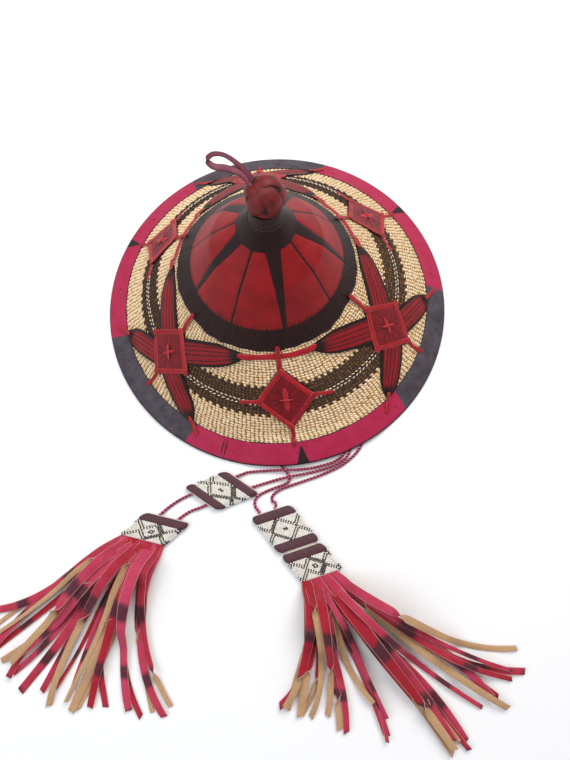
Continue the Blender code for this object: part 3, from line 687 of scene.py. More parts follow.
@dataclass(frozen=True)
class StrawWall:
    """The inside of the twined straw, with its rows and stitches, and dark gaps behind the outer stitches."""

    tan: str = "C79A5E"
    pale: str = "DDB87E"
    gap: str = "96703F"
    stake_count: int = 190
    row_mm: float = 3.3

    def build(self) -> Material:
        """Return the material."""
        surface = Surface("straw_wall", 1.45, 0.8)
        node = surface.node
        x_place, y_place, height = (node("SeparateXYZ", surface.position, out=axis) for axis in "XYZ")
        turn = node("Math", y_place, x_place, operation="ARCTAN2")
        # Stitches are counted round the cone and rows up its slope
        waves = []
        for value, scale in ((turn, self.stake_count / 2), (height, math.pi / (self.row_mm * MM * 0.66))):
            sine = node("Math", node("Math", value, scale, operation="MULTIPLY"), operation="SINE")
            waves.append(node("Math", sine, operation="ABSOLUTE"))
        stitch = node("Math", *waves, operation="MULTIPLY")
        patchy = node("TexNoise", surface.position, None, 110.0, 4.0, 0.6)
        color = node("MixRGB", patchy, self.tan, self.pale)
        inner = node("MixRGB", node("MapRange", stitch, 0.02, 0.25), self.gap, color)
        normal = node("NewGeometry", out="Normal")
        upward = node("MapRange", node("SeparateXYZ", normal, out="Z"), 0.0, 0.2)
        return surface.finish(node("MixRGB", upward, inner, self.gap), stitch, 0.8)


@dataclass(frozen=True)
class CrownLeather:
    """Dyed goatskin: deep red with near-black rays, smooth on the grain side, with a soft satin light."""

    red: str = "820A0D"
    red_light: str = "9E151B"
    dark: str = "1A0706"
    dark_light: str = "321411"

    def build(self) -> Material:
        """Return the material."""
        surface = Surface("dyed_goatskin_crown", 1.5, 0.5)
        node = surface.node
        blotch = node("TexNoise", surface.position, None, 38.0, 4.0, 0.6)
        mottle = node("TexNoise", surface.position, None, 420.0, 5.0, 0.7)
        red = node("MixRGB", node("MapRange", blotch, 0.35, 0.7), self.red, self.red_light)
        # Painted highlights: fine specks of lighter red
        highlight_specks = node("MixRGB", node("MapRange", mottle, 0.5, 0.85, 0.0, 0.3), red, self.red_light)
        # The dye's edge is painted by hand, so it wanders a little
        wander = node("TexNoise", surface.position, None, 200.0, 3.0)
        edge = node("Math", wander, 1.2, "@dye", operation="MULTIPLY_ADD")
        # Brush strokes of many lengths run from the dark hem up into the red
        place = node("Attribute", attribute_name="stroke", out="Vector")
        stroke = node("TexNoise", place, None, 1000.0, 3.0, 0.8)
        feather = node("Math", node("MapRange", stroke, 0.5, 0.8, 0.0, 9.0), "@border", operation="ADD")
        inner = node("MapRange", edge, 0.35, 0.85)
        inked = node("Math", inner, node("MapRange", feather, 0.2, 1.2), operation="MAXIMUM")
        dark = node("MixRGB", node("MapRange", stroke, 0.35, 0.75), self.dark, self.dark_light)
        return surface.finish(node("MixRGB", inked, highlight_specks, dark), surface.hide(6.0), 0.12)


@dataclass(frozen=True)
class StripLeather:
    """Thin dyed goatskin cut in strips: the dye stays on the grain side and the cut edges are paler."""

    name: str
    face: str
    shade: str
    cut: str
    back: str
    edge_start: float = 0.86

    def build(self) -> Material:
        """Return the material."""
        surface = Surface(self.name, 1.5, 0.5)
        node = surface.node
        blotch = node("TexNoise", surface.position, None, 140.0, 4.0, 0.65)
        shift = node("Math", "@tone", 0.9, blotch, operation="MULTIPLY_ADD")
        face = node("MixRGB", node("MapRange", shift, 0.75, 1.2), self.shade, self.face)
        side = node("Math", "@across", operation="ABSOLUTE")
        cut = node("MixRGB", node("MapRange", side, self.edge_start, 0.97, 0.0, 0.75), face, self.cut)
        under = node("MapRange", "@through", -0.3, -0.7)
        return surface.finish(node("MixRGB", under, cut, self.back), surface.hide(2.5), 0.14)


@dataclass(frozen=True)
class PleatedLeather:
    """Dyed goatskin drawn into pleats, with painted shade darkening each fold's crease and a dark painted
    edge.
    """

    name: str
    face: str
    # Dark red for the dye's uneven patches, and for the painted shade in the pleats' creases
    fold: str
    edge: str
    edge_start: float = 2.0
    tip_start: float = 2.0

    def build(self) -> Material:
        """Return the material."""
        surface = Surface(self.name, 1.5, 0.48)
        node = surface.node
        blotch = node("TexNoise", surface.position, None, 120.0, 4.0, 0.65)
        face = node("MixRGB", node("MapRange", blotch, 0.3, 0.8, 0.0, 0.6), self.face, self.fold)
        # Painted shade: the pleat creases, already sunk in the shape, are darkened towards the fold colour
        crease = node("MapRange", "@fold", 0.3, 0.8)
        crease_shaded = node("MixRGB", crease, face, self.fold)
        wander = node("MapRange", blotch, 0.0, 1.0, -0.06, 0.06)
        side = node("Math", "@across", operation="ABSOLUTE")
        side_edge = node("Math", side, wander, operation="ADD")
        end_edge = node("Math", "@reach", wander, operation="ADD")
        rims = [
            node("MapRange", value, start - 0.05, start + 0.05)
            for value, start in ((side_edge, self.edge_start), (end_edge, self.tip_start))
        ]
        inked = node("Math", *rims, operation="MAXIMUM")
        return surface.finish(node("MixRGB", inked, crease_shaded, self.edge), surface.hide(3.5), 0.14)


@dataclass(frozen=True)
class RimLeather:
    """Dyed goatskin folded round the rim: magenta and blue-black lengths, satin, with a dark cut edge."""

    pink: str = "AA1B44"
    pink_light: str = "BE365E"
    dark: str = "383138"
    # Grey of the painted sheen, with some dust, on the dark lengths
    dark_light: str = "665C66"
    # Near-black of the dark points and edges, and of the painted shade under the band near the floor
    ink: str = "2A1A1F"

    def build(self) -> Material:
        """Return the material."""
        surface = Surface("dyed_goatskin_rim", 1.5, 0.52)
        node = surface.node
        cloud = node("TexNoise", surface.position, None, 60.0, 4.0, 0.6)
        mottle = node("TexNoise", surface.position, None, 600.0, 5.0, 0.75)
        wander = node("TexNoise", surface.position, None, 200.0, 3.0)
        # The dark lengths get clouds and specks of grey, a painted sheen with some dust, and the magenta is a
        # little uneven
        shades = []
        for deep, light, most in ((self.dark, self.dark_light, 0.6), (self.pink, self.pink_light, 0.4)):
            clouded = node("MixRGB", node("MapRange", cloud, 0.35, 0.75, 0.0, most), deep, light)
            shades.append(node("MixRGB", node("MapRange", mottle, 0.45, 0.85, 0.0, most), clouded, light))
        length = node("Math", wander, 1.6, "@length", operation="MULTIPLY_ADD")
        base = node("MixRGB", node("MapRange", length, 0.5, 1.1), *shades)
        # Dark points and edges, and painted shade under the band near the floor
        ink = node("MapRange", node("Math", wander, 0.6, "@ink", operation="MULTIPLY_ADD"), 0.05, 0.55)
        return surface.finish(node("MixRGB", ink, base, self.ink), surface.hide(5.0), 0.14)


@dataclass(frozen=True)
class TwistedCord:
    """Thin leather lace spun two-ply: dusty pink, with painted shade where the plies meet."""

    face: str = "BC4865"
    light: str = "D37A92"
    # Darker pink for specks along the fibres, and for the painted shade where the plies meet
    shade: str = "84304A"

    def build(self) -> Material:
        """Return the material."""
        surface = Surface("spun_leather_cord", 1.5, 0.62)
        node = surface.node
        fibre = node("TexNoise", surface.position, None, 1400.0, 3.0, 0.7)
        patchy = node("TexNoise", surface.position, None, 70.0, 3.0, 0.6)
        face = node("MixRGB", node("MapRange", patchy, 0.3, 0.7), self.face, self.light)
        dyed = node("MixRGB", node("MapRange", fibre, 0.4, 0.75, 0.0, 0.5), face, self.shade)
        # Painted shade: the side of each ply that faces the other ply takes the shade colour
        inner = node("MapRange", "@outer", 0.1, 0.75)
        return surface.finish(node("MixRGB", inner, self.shade, dyed), fibre, 0.12)


@dataclass(frozen=True)
class GlassBeads:
    """Small opaque glass beads, milk white and near-black, with a sharp wet highlight on each."""

    white: str = "FFFEFA"
    ivory: str = "F1ECE0"
    black: str = "241617"
    # Colour of the painted shade between the beads
    shade_between_beads: str = "CFC4BA"

    def build(self) -> Material:
        """Return the material."""
        surface = Surface("opaque_glass_beads", 1.52, 0.22, 0.5)
        node = surface.node
        white = node("MixRGB", "@tone", self.white, self.ivory)
        colored = node("MixRGB", "@dark", white, self.black)
        # Painted shade darkens the inner half of each bead, where the beads meet the core and each other
        low = node("MapRange", "@height", -0.1, -0.9, 0.0, 0.5)
        bloom = node("TexNoise", surface.position, None, 900.0, 2.0)
        return surface.finish(node("MixRGB", low, colored, self.shade_between_beads), bloom, 0.02)


@dataclass(frozen=True)
class FringeSuede:
    """Strips of split hide: pink-red dye with dark bands on the grain side and bare tan suede behind."""

    dye: str = "A01526"
    dye_light: str = "BE3E5C"
    band: str = "42202C"
    cut: str = "E0B4AA"
    suede: str = "CDA67E"
    suede_dark: str = "A17A54"

    def build(self) -> Material:
        """Return the material."""
        surface = Surface("fringe_suede", 1.48, 0.72)
        node = surface.node
        surface.shader.inputs["Sheen Weight"].default_value = 0.1
        nap = node("TexNoise", surface.position, None, 900.0, 5.0, 0.75)
        patchy = node("TexNoise", surface.position, None, 80.0, 4.0, 0.6)
        shift = node("Math", patchy, "@tone", operation="ADD")
        dye = node("MixRGB", node("MapRange", shift, 0.6, 1.5), self.dye, self.dye_light)
        speckled = node("MixRGB", node("MapRange", nap, 0.5, 0.8, 0.0, 0.35), dye, self.dye_light)
        # Two dark bands and a dark tip cross the whole fringe, a little ragged
        ragged = node("Math", patchy, 0.08, "@share", operation="MULTIPLY_ADD")
        bands = []
        for middle, half in ((0.49, 0.065), (0.83, 0.055), (1.08, 0.06)):
            away = node("Math", node("Math", ragged, middle, operation="SUBTRACT"), operation="ABSOLUTE")
            bands.append(node("MapRange", away, half, half - 0.03, 0.0, 0.9))
        two = node("Math", *bands[:2], operation="MAXIMUM")
        grain = node("MixRGB", node("Math", two, bands[2], operation="MAXIMUM"), speckled, self.band)
        back = node("MixRGB", node("MapRange", nap, 0.35, 0.7), self.suede, self.suede_dark)
        side = node("Math", "@across", operation="ABSOLUTE")
        edged = node("MixRGB", node("MapRange", side, 0.9, 0.97, 0.0, 0.8), grain, self.cut)
        under = node("MapRange", "@through", 0.2, -0.4)
        return surface.finish(node("MixRGB", under, edged, back), surface.hide(2.2), 0.16)


@dataclass(frozen=True)
class FloorPaper:
    """Plain white paper: matt, with only a trace of tooth."""

    white: str = "F4F5F7"
    bright: str = "FBFBFB"

    def build(self) -> Material:
        """Return the material."""
        surface = Surface("white_paper", 1.45, 0.85)
        tooth = surface.node("TexNoise", surface.position, None, 900.0)
        return surface.finish(surface.node("MixRGB", tooth, self.white, self.bright), tooth, 0.02)


BRIGHT_STRIP = StripLeather("bright_red_strip", "B41E28", "8E131C", "CC7A70", "7A2A26")
THONG_STRIP = StripLeather("red_thong", "A81B26", "86131B", "C06A62", "7A2A26")
DARK_THONG = StripLeather("near_black_leather", "3A2522", "231311", "4A3330", "2A1A18")
KNOT_STRIP = StripLeather("oxblood_knot_strip", "8E2D29", "621917", "2E0F0D", "34110F", edge_start=0.78)
LOOP_STRIP = StripLeather("mauve_loop_strip", "8E4C5E", "6A3040", "3E2028", "6A3040", edge_start=0.7)
ROLLED_LEATHER = StripLeather("rolled_plum_leather", "4C3238", "2F1D23", "57343C", "E4DDD2", edge_start=2.0)
# The pleated leathers' second colour gives darker dye in patches and painted shade in the pleats' creases
PANEL_LEATHER = PleatedLeather("pleated_red_panel", "84101A", "42080D", "2A1011")
ARM_LEATHER = PleatedLeather("pleated_wine_leaf", "9A101A", "360A0B", "230E0E", 0.74, 0.78)


# Sub-assemblies


@dataclass
class StrawWeave:
    """The twined stitches on the visible part of the cone, joined row by row over the plain wall."""

    inner_radius: float = 0.1025
    change_radius: float = 0.1345
    outer_radius: float = 0.1905
    row_pitch: float = 0.0033
    inner_stakes: int = 170
    outer_stakes: int = 220
    stitch_height: float = 0.003
    stitch_depth: float = 0.0018
    slant: float = 24.0
    dark_band: tuple[float, float] = (0.134, 0.1612)
    dash_radii: tuple[float, float] = (0.1484, 0.1513)
    dash_count: int = 176
    dash_level: float = 0.0012

    def build_zone(self, name: str, radii: Array, stakes: int, material: Material) -> None:
        """Build the stitches of one zone.

        Args:
            name: The object's name.
            radii: The radius of each of its rows.
            stakes: Number of stitches in a row.
            material: The straw finish.
        """
        generator = np.random.default_rng(stakes)
        count = len(radii) * stakes
        rows, columns = np.divmod(np.arange(count), stakes)
        drift = np.cumsum(generator.normal(0.0, 0.1, len(radii)))[rows] * 0.4
        azimuth = (columns + 0.5 + drift + generator.normal(0.0, 0.06, count)) * 360.0 / stakes
        radius = radii[rows] + generator.normal(0.0, 0.00018, count)
        level = 0.0002 + generator.normal(0.0, 0.0001, count)
        slant = self.slant + generator.normal(0.0, 5.0, count)
        sizes = (
            2 * math.pi * radius / stakes * 0.6,
            self.stitch_height * generator.uniform(0.52, 0.62, count),
            self.stitch_depth * generator.uniform(0.42, 0.55, count),
        )
        piece, ball = lay_stitches(
            name, lambda reach, turn: FORM.place(reach, turn, level), radius, azimuth, slant, sizes
        )
        # Every other stake reaches further out, so the dark band's edges are toothed
        tooth = radius + 0.0011 * np.where(columns % 2 == 0, 1.0, -1.0)
        low, high = self.dark_band
        tone = np.clip(generator.normal(0.74, 0.17, count), 0.0, 1.0)
        per_vertex = np.repeat(np.arange(count), len(ball))
        give_attribute(piece, "tone", tone[per_vertex])
        give_attribute(piece, "dye", ((tooth > low) & (tooth < high))[per_vertex])
        stem = np.tile(ball, (count, 1)) * (0.0006, 0.003, 0.0018)
        stem[:, 2] += per_vertex * 0.0011
        give_attribute(piece, "stem", stem)
        finish_piece(piece, material)

    def build_dashes(self, material: Material) -> None:
        """Build the two rows of thin pale stems that lie slanted in the dark ring.

        Args:
            material: The straw finish.
        """
        generator = np.random.default_rng(31)
        count = self.dash_count * 2
        number = np.arange(count)
        side = np.where(number % 2 == 0, 1.0, -1.0)
        azimuth = (number // 2 + 0.25 * side + generator.normal(0.0, 0.08, count)) * 360.0 / self.dash_count
        radius = np.where(side > 0, *self.dash_radii) + generator.normal(0.0, 0.00015, count)
        slant = 18.0 * side + generator.normal(0.0, 4.0, count)
        sizes = (generator.uniform(0.0018, 0.0024, count), 0.00065, 0.0006)
        level = self.dash_level
        piece, _ball = lay_stitches(
            "straw_dashes", lambda reach, turn: FORM.place(reach, turn, level), radius, azimuth, slant, sizes
        )
        give_attribute(piece, "cream", np.ones(len(piece.data.vertices)))
        finish_piece(piece, material)

    def build(self) -> None:
        """Build both zones and dress the wall behind them."""
        material = TwinedStraw().build()
        radii = np.arange(self.inner_radius, self.outer_radius, self.row_pitch * math.cos(FORM.brim_slope))
        inner, outer = radii[radii < self.change_radius], radii[radii >= self.change_radius]
        self.build_zone("straw_stitches_inner", inner, self.inner_stakes, material)
        self.build_zone("straw_stitches_outer", outer, self.outer_stakes, material)
        self.build_dashes(material)
        dress(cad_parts["straw_body"], StrawWall().build())


@dataclass
class CrownCover:
    """The leather cover of the crown: red wedges between dark rays, with a dark pleated hem and collar."""

    thick_rays: tuple[float, ...] = (-158.0, -80.0, -6.0, 63.0, 133.0)
    thin_rays: tuple[float, ...] = (-120.0, -40.0, 29.0, 98.0, 167.0)
    thick_half_widths: tuple[float, float] = (7.5, 2.2)
    thin_half_width: float = 1.2
    collar_mm: float = 29.0
    corner_mm: float = 1.8
    columns: int = 600
    rows: int = 76
    pleats: int = 150

    def dye_distance(self, radius: Array, azimuth: Array) -> Array:
        """Work out how far each place lies inside the dark rays and collar.

        Args:
            radius: Distance from the axis, in metres.
            azimuth: Degrees anticlockwise from +X.

        Returns:
            Distance in millimetres, above zero in the dark dye.
        """
        reach = radius / MM
        low, high = FORM.collar_radius / MM, FORM.border_radius / MM
        ray = np.full(radius.shape, -99.0)
        for rays, half in (
            (self.thick_rays, np.interp(reach, (low, high), self.thick_half_widths)),
            (self.thin_rays, np.full(radius.shape, self.thin_half_width)),
        ):
            for line in rays:
                turn = np.radians((azimuth - line + 180.0) % 360.0 - 180.0)
                ray = np.maximum(ray, half - np.abs(turn) * reach)
        collar = self.collar_mm - reach
        blend = np.clip(0.5 + 0.5 * (collar - ray) / self.corner_mm, 0.0, 1.0)
        return ray + (collar - ray) * blend + self.corner_mm * blend * (1.0 - blend)

    def build(self) -> None:
        """Build the cover."""
        generator = np.random.default_rng(5)
        bumps = generator.uniform(0.4, 1.0, self.pleats)
        waves = generator.uniform(0.0, math.tau, 4)
        share = np.linspace(0.0, 1.0, self.rows + 1)[:, None]
        azimuth = 90.0 + 360.0 * np.arange(self.columns) / self.columns
        turn = np.radians(azimuth)
        ragged = 0.0007 * np.sin(9 * turn + waves[0]) + 0.0004 * np.sin(31 * turn + waves[1])
        radius = FORM.neck_radius + (FORM.hem_radius + ragged - FORM.neck_radius) * share
        depth = smooth_step((radius - FORM.border_radius) / 0.012)
        count = azimuth / 360.0 * self.pleats
        fold = np.abs(np.sin(math.pi * count)) ** 0.5
        pleat = 0.0006 * depth * bumps[np.floor(count).astype(int) % self.pleats] * (fold - 1.0)
        puff = 0.0004 * np.sin(5 * turn + waves[2]) * np.sin(radius * 90 + waves[3])
        dye = self.dye_distance(radius, azimuth)
        seam = -0.0003 * np.exp(-np.square(dye / 1.2)) * (radius > 0.03)
        droop = -0.001 * smooth_step((share - 0.985) / 0.015)
        places = FORM.place(radius, azimuth, FORM.skin + pleat + puff + seam + droop + 0.0003)
        # The brush strokes are drawn out along the slope
        stroke = 0.06 * np.stack(np.broadcast_arrays(np.cos(turn), np.sin(turn), radius), axis=-1)
        border = (radius - FORM.border_radius) / MM
        piece = sheet("dyed_crown_cover", places, dye=dye, border=border, stroke=stroke)
        mend(piece)
        thicken(piece, FORM.leather_wall * 0.8)
        shade_soft(piece, 60.0)
        finish_piece(piece, CrownLeather().build(), ["crown_cover"])


@dataclass
class RimBand:
    """The leather folded round the rim: magenta and dark lengths, with dark points, stitches and a seam."""

    pink_lengths: tuple[tuple[float, float], ...] = ((-124.5, -46.8), (-1.5, 67.7), (119.0, 190.0))
    dark_points: tuple[float, ...] = (-85.0, 34.0, 153.0)
    point_half_width: float = 8.5
    boundary_slant: float = 1.6
    stitch_count: int = 13
    seam_azimuth: float = -111.5
    columns: int = 900
    outer_points: int = 14

    def section(self) -> Array:
        """Return the closed cross-section as rows of radius and height, from the inner edge over the rim."""
        rim, edge, wall = FORM.rim_radius, FORM.rim_edge_height, FORM.leather_wall
        total = (2 * FORM.skin + FORM.straw_wall) * FORM.band_stretch
        under = rim - 0.023
        flat = rim - (total - edge) / FORM.band_slope
        fold = rim - 0.0018
        low = FORM.band_top(under) - total
        radii = np.linspace(FORM.band_radius, fold, self.outer_points)
        outer = [(radius, FORM.band_top(radius)) for radius in radii]
        nose = [(rim - 0.0004, edge * 0.92), (rim, edge * 0.6), (rim - 0.0005, edge * 0.2)]
        below = [(rim - 0.0015, 0.00002), (flat, 0.00002), (under, low), (under, low + wall)]
        inside = [
            (flat + 0.0004, wall), (fold, wall), (fold, wall * 1.3),
            (FORM.band_radius, FORM.band_top(FORM.band_radius) - wall * FORM.band_stretch),
        ]
        return np.array(outer + nose + below + inside)

    def length_distance(self, azimuth: Array, radius: Array) -> Array:
        """Work out how far each place lies inside a magenta length.

        Args:
            azimuth: Its azimuth in degrees.
            radius: Its distance from the axis.

        Returns:
            Distance along the rim in millimetres.
        """
        result = np.full(radius.shape, -99.0)
        skew = (radius - FORM.rim_radius) / (FORM.rim_radius - FORM.band_radius) * self.boundary_slant
        for start, end in self.pink_lengths:
            turn = (azimuth + skew - (start + end) / 2 + 180.0) % 360.0 - 180.0
            result = np.maximum(result, np.radians((end - start) / 2 - np.abs(turn)) * radius / MM)
        return result

    def ink_distance(self, azimuth: Array, radius: Array, height: Array) -> Array:
        """Work out how far each place lies inside the dark points, the dark edges and the painted shade on
        the underside near the floor.

        Args:
            azimuth: Its azimuth in degrees.
            radius: Its distance from the axis.
            height: Its height above the floor.

        Returns:
            Distance in millimetres.
        """
        inner = 0.7 - (radius - FORM.band_radius) / MM
        # Below half a millimetre above the floor the dark reaches further in: painted shade where the band
        # rests on the floor
        outer = (radius - FORM.rim_radius) / MM + 1.3 + (height < 0.0005) * 3.0
        ink = np.maximum(inner, outer)
        share = (radius - FORM.band_radius) / (FORM.rim_radius - FORM.band_radius)
        for point in self.dark_points:
            turn = np.radians((azimuth - point + 180.0) % 360.0 - 180.0) * radius / MM
            ink = np.maximum(ink, self.point_half_width * (share - 0.12) - np.abs(turn))
        return ink

    def build_binding(self) -> None:
        """Build the folded leather."""
        waves = np.random.default_rng(8).uniform(0.0, math.tau, 4)
        section = self.section()
        azimuth = 90.0 + 360.0 * np.arange(self.columns) / self.columns
        turn = np.radians(azimuth)
        ripple = 0.00016 * np.sin(37 * turn + waves[0]) + 0.00012 * np.sin(83 * turn + waves[1])
        height = section[:, 1:] + ripple * (np.arange(len(section)) < self.outer_points)[:, None]
        radius = np.repeat(section[:, :1], self.columns, axis=1)
        radius[0] += 0.0005 * np.sin(13 * turn + waves[2]) + 0.0003 * np.sin(47 * turn + waves[3])
        piece = sheet(
            "dyed_rim_band", FORM.around(radius, azimuth, height, FORM.arch(radius, azimuth)), (True, True),
            length=self.length_distance(azimuth, radius), ink=self.ink_distance(azimuth, radius, height),
        )
        mend(piece)
        shade_soft(piece, 45.0)
        finish_piece(piece, RimLeather().build(), ["rim_binding"])

    def build_stitches(self) -> None:
        """Build the small dark stitches along the band and the two that close its seam."""
        generator = np.random.default_rng(14)
        middle = (FORM.rim_radius + FORM.band_radius) / 2
        azimuths = np.arange(-160.0, 200.0, 360.0 / self.stitch_count)
        azimuths = azimuths + generator.normal(0.0, 3.0, self.stitch_count)
        # Azimuth, radius, half length, half width and slant of each stitch
        marks = [
            (azimuth + 1.1 * half, middle + 0.0012 * half, 0.0021, 0.00035, 25.0)
            for azimuth in azimuths for half in (-1, 1)
        ]
        marks += [(self.seam_azimuth + shift, middle, 0.0105, 0.0006, 90.0) for shift in (-0.35, 0.75)]
        azimuth, radius, length, width, slant = np.array(marks).T
        piece, _ball = lay_stitches(
            "rim_stitches", FORM.on_band, radius, azimuth, slant, (length, width, 0.0004), 2, 0.0001
        )
        finish_piece(piece, DARK_THONG.build())

    def build(self) -> None:
        """Build the binding and its stitches."""
        self.build_binding()
        self.build_stitches()


@dataclass
class TopKnot:
    """The ball of interlaced leather strips, the wrapped neck under it and the hanging loop."""

    ball_radius: float = 0.0205
    leads: int = 3
    bights: int = 4
    swing: float = 66.0
    strip_width: float = 0.0168
    strip_wall: float = 0.002
    weave_depth: float = 0.001
    samples: int = 720
    loop_width: float = 0.0062
    loop_wall: float = 0.0018
    loop_route: Route = (
        (-0.0098, 0.0042, 0.0192), (-0.0176, 0.011, 0.027), (-0.0306, 0.019, 0.0345),
        (-0.0416, 0.0205, 0.0365), (-0.0476, 0.0168, 0.034), (-0.0426, 0.0128, 0.03),
        (-0.0316, 0.011, 0.0285), (-0.0196, 0.0065, 0.0255), (-0.0118, -0.0015, 0.0186),
    )

    def middle(self) -> Array:
        """Return the middle of the ball."""
        return np.array([float(FORM.lean(FORM.knot_height)), 0.0, FORM.knot_height])

    def weave_heights(self, directions: Array) -> Array:
        """Work out where the strip passes over and under itself.

        Args:
            directions: Unit vectors from the ball's middle to the strip's middle line.

        Returns:
            One of -1 under to 1 over for each of them.
        """
        count = len(directions)
        near = directions @ directions.T
        gap = np.abs(np.subtract.outer(np.arange(count), np.arange(count)))
        near[np.minimum(gap, count - gap) < count // 20] = -1.0
        best = near.max(axis=1)
        peaks = [
            index for index in range(count)
            if 0.9995 < best[index] >= best[index - 1] and best[index] > best[(index + 1) % count]
        ]
        kept = [index for index, after in zip(peaks, peaks[1:] + [peaks[0] + count]) if after - index > 4]
        signs = [1.0 if number % 2 == 0 else -1.0 for number in range(len(kept))]
        places = [kept[-1] - count, *kept, kept[0] + count]
        wave = np.interp(np.arange(count), places, [signs[-1], *signs, signs[0]])
        return 2.0 * smooth_step((1.0 + wave) / 2.0) - 1.0

    def build_core(self) -> None:
        """Build the ball's dark core."""
        deselect_all()
        bpy.ops.mesh.primitive_uv_sphere_add(segments=48, ring_count=24, radius=self.ball_radius - 0.0022)
        core = bpy.context.active_object
        core.name = "knot_core"
        write_points(core, read_points(core) + self.middle())
        shade_soft(core)
        finish_piece(core, DARK_THONG.build())

    def build_strip(self) -> None:
        """Build the strip woven round the core, in a thin domed section."""
        turn = np.linspace(0.0, math.tau, self.samples, endpoint=False)
        latitude = np.radians(self.swing) * np.sin(self.bights * turn)
        longitude = self.leads * turn + 0.5
        flat = np.cos(latitude)
        directions = np.stack([flat * np.cos(longitude), flat * np.sin(longitude), np.sin(latitude)], axis=1)
        tilt = Matrix.Rotation(math.radians(24.0), 3, "X") @ Matrix.Rotation(math.radians(-20.0), 3, "Y")
        directions = directions @ np.array(tilt).T
        side = np.cross(unit(np.roll(directions, -1, axis=0) - np.roll(directions, 1, axis=0)), directions)
        section = np.array([
            (-0.9, 0.1), (-0.65, 0.65), (-0.35, 0.95), (0.0, 1.05), (0.35, 0.95), (0.65, 0.65), (0.9, 0.1),
            (1.0, -0.3), (1.0, -0.7), (0.8, -1.0), (0.3, -1.0), (-0.3, -1.0), (-0.8, -1.0), (-1.0, -0.7),
            (-1.0, -0.3),
        ])
        across, through = section.T
        seat = self.ball_radius - self.strip_wall / 2 - self.weave_depth
        spread = (across * (self.strip_width / 2) / seat)[:, None]
        around = directions[:, None] * np.cos(spread) + side[:, None] * np.sin(spread)
        wrinkle = 0.00018 * np.sin(across * 7.0 + turn[:, None] * 9.0) * (through > 0.5)
        weave = self.weave_heights(directions)[:, None] * self.weave_depth
        reach = seat + weave + through * self.strip_wall / 2 + wrinkle
        stations = self.middle() + around * reach[..., None]
        piece = loft_strip("knot_strip", np.concatenate([stations, stations[:1]]), 0.4, section)
        finish_piece(piece, KNOT_STRIP.build(), ["top_knot"])

    def build_neck(self) -> None:
        """Build the dark neck, a thong wound tight below the ball."""
        outline = np.array([
            (0.0186, 0.1922), (0.0172, 0.194), (0.0162, 0.1962), (0.0156, 0.199), (0.0153, 0.202),
            (0.0152, 0.205), (0.0154, 0.208), (0.0158, 0.2105),
        ])
        share = np.linspace(0.0, 1.0, 61)[:, None]
        azimuth = 360.0 * np.arange(96) / 96
        stations = np.linspace(0.0, 1.0, len(outline))
        radius, height = (np.interp(share, stations, column) for column in outline.T)
        winding = share * 4.2 + azimuth / 360.0
        groove = 0.00055 * (np.abs(np.sin(math.pi * winding)) ** 0.6 - 0.6)
        radius = radius + groove + 0.00012 * np.sin(23 * np.radians(azimuth))
        tone = 0.5 + 0.3 * np.sin(math.tau * winding)
        piece = sheet("wrapped_neck", FORM.around(radius, azimuth, height), tone=tone)
        mend(piece)
        thicken(piece, 0.001)
        shade_soft(piece, 60.0)
        finish_piece(piece, DARK_THONG.build(), ["neck_wrap"])

    def build_loop(self) -> None:
        """Build the flat hanging loop that comes out of the ball."""
        points = catmull(self.middle() + np.array(self.loop_route), 0.0012)
        ahead = unit(np.gradient(points, axis=0))
        plane = np.array([0.07, 0.95, 0.3])
        side = unit(plane - ahead * (ahead @ plane)[:, None])
        width = self.loop_width * (0.82 + 0.18 * np.cos(np.linspace(0.0, 9.0, len(points))))
        stations = strip_stations(points, side, np.cross(ahead, side), width, self.loop_wall)
        piece = loft_strip("flat_hanging_loop", stations, 0.5)
        finish_piece(piece, LOOP_STRIP.build(), ["hanging_loop"])

    def build(self) -> None:
        """Build the ball, the neck and the loop."""
        self.build_core()
        self.build_strip()
        self.build_neck()
        self.build_loop()


class PatchKind(Enum):
    """The two kinds of patch, by what surrounds them."""

    DIAMOND = "diamond"
    STAR = "star"


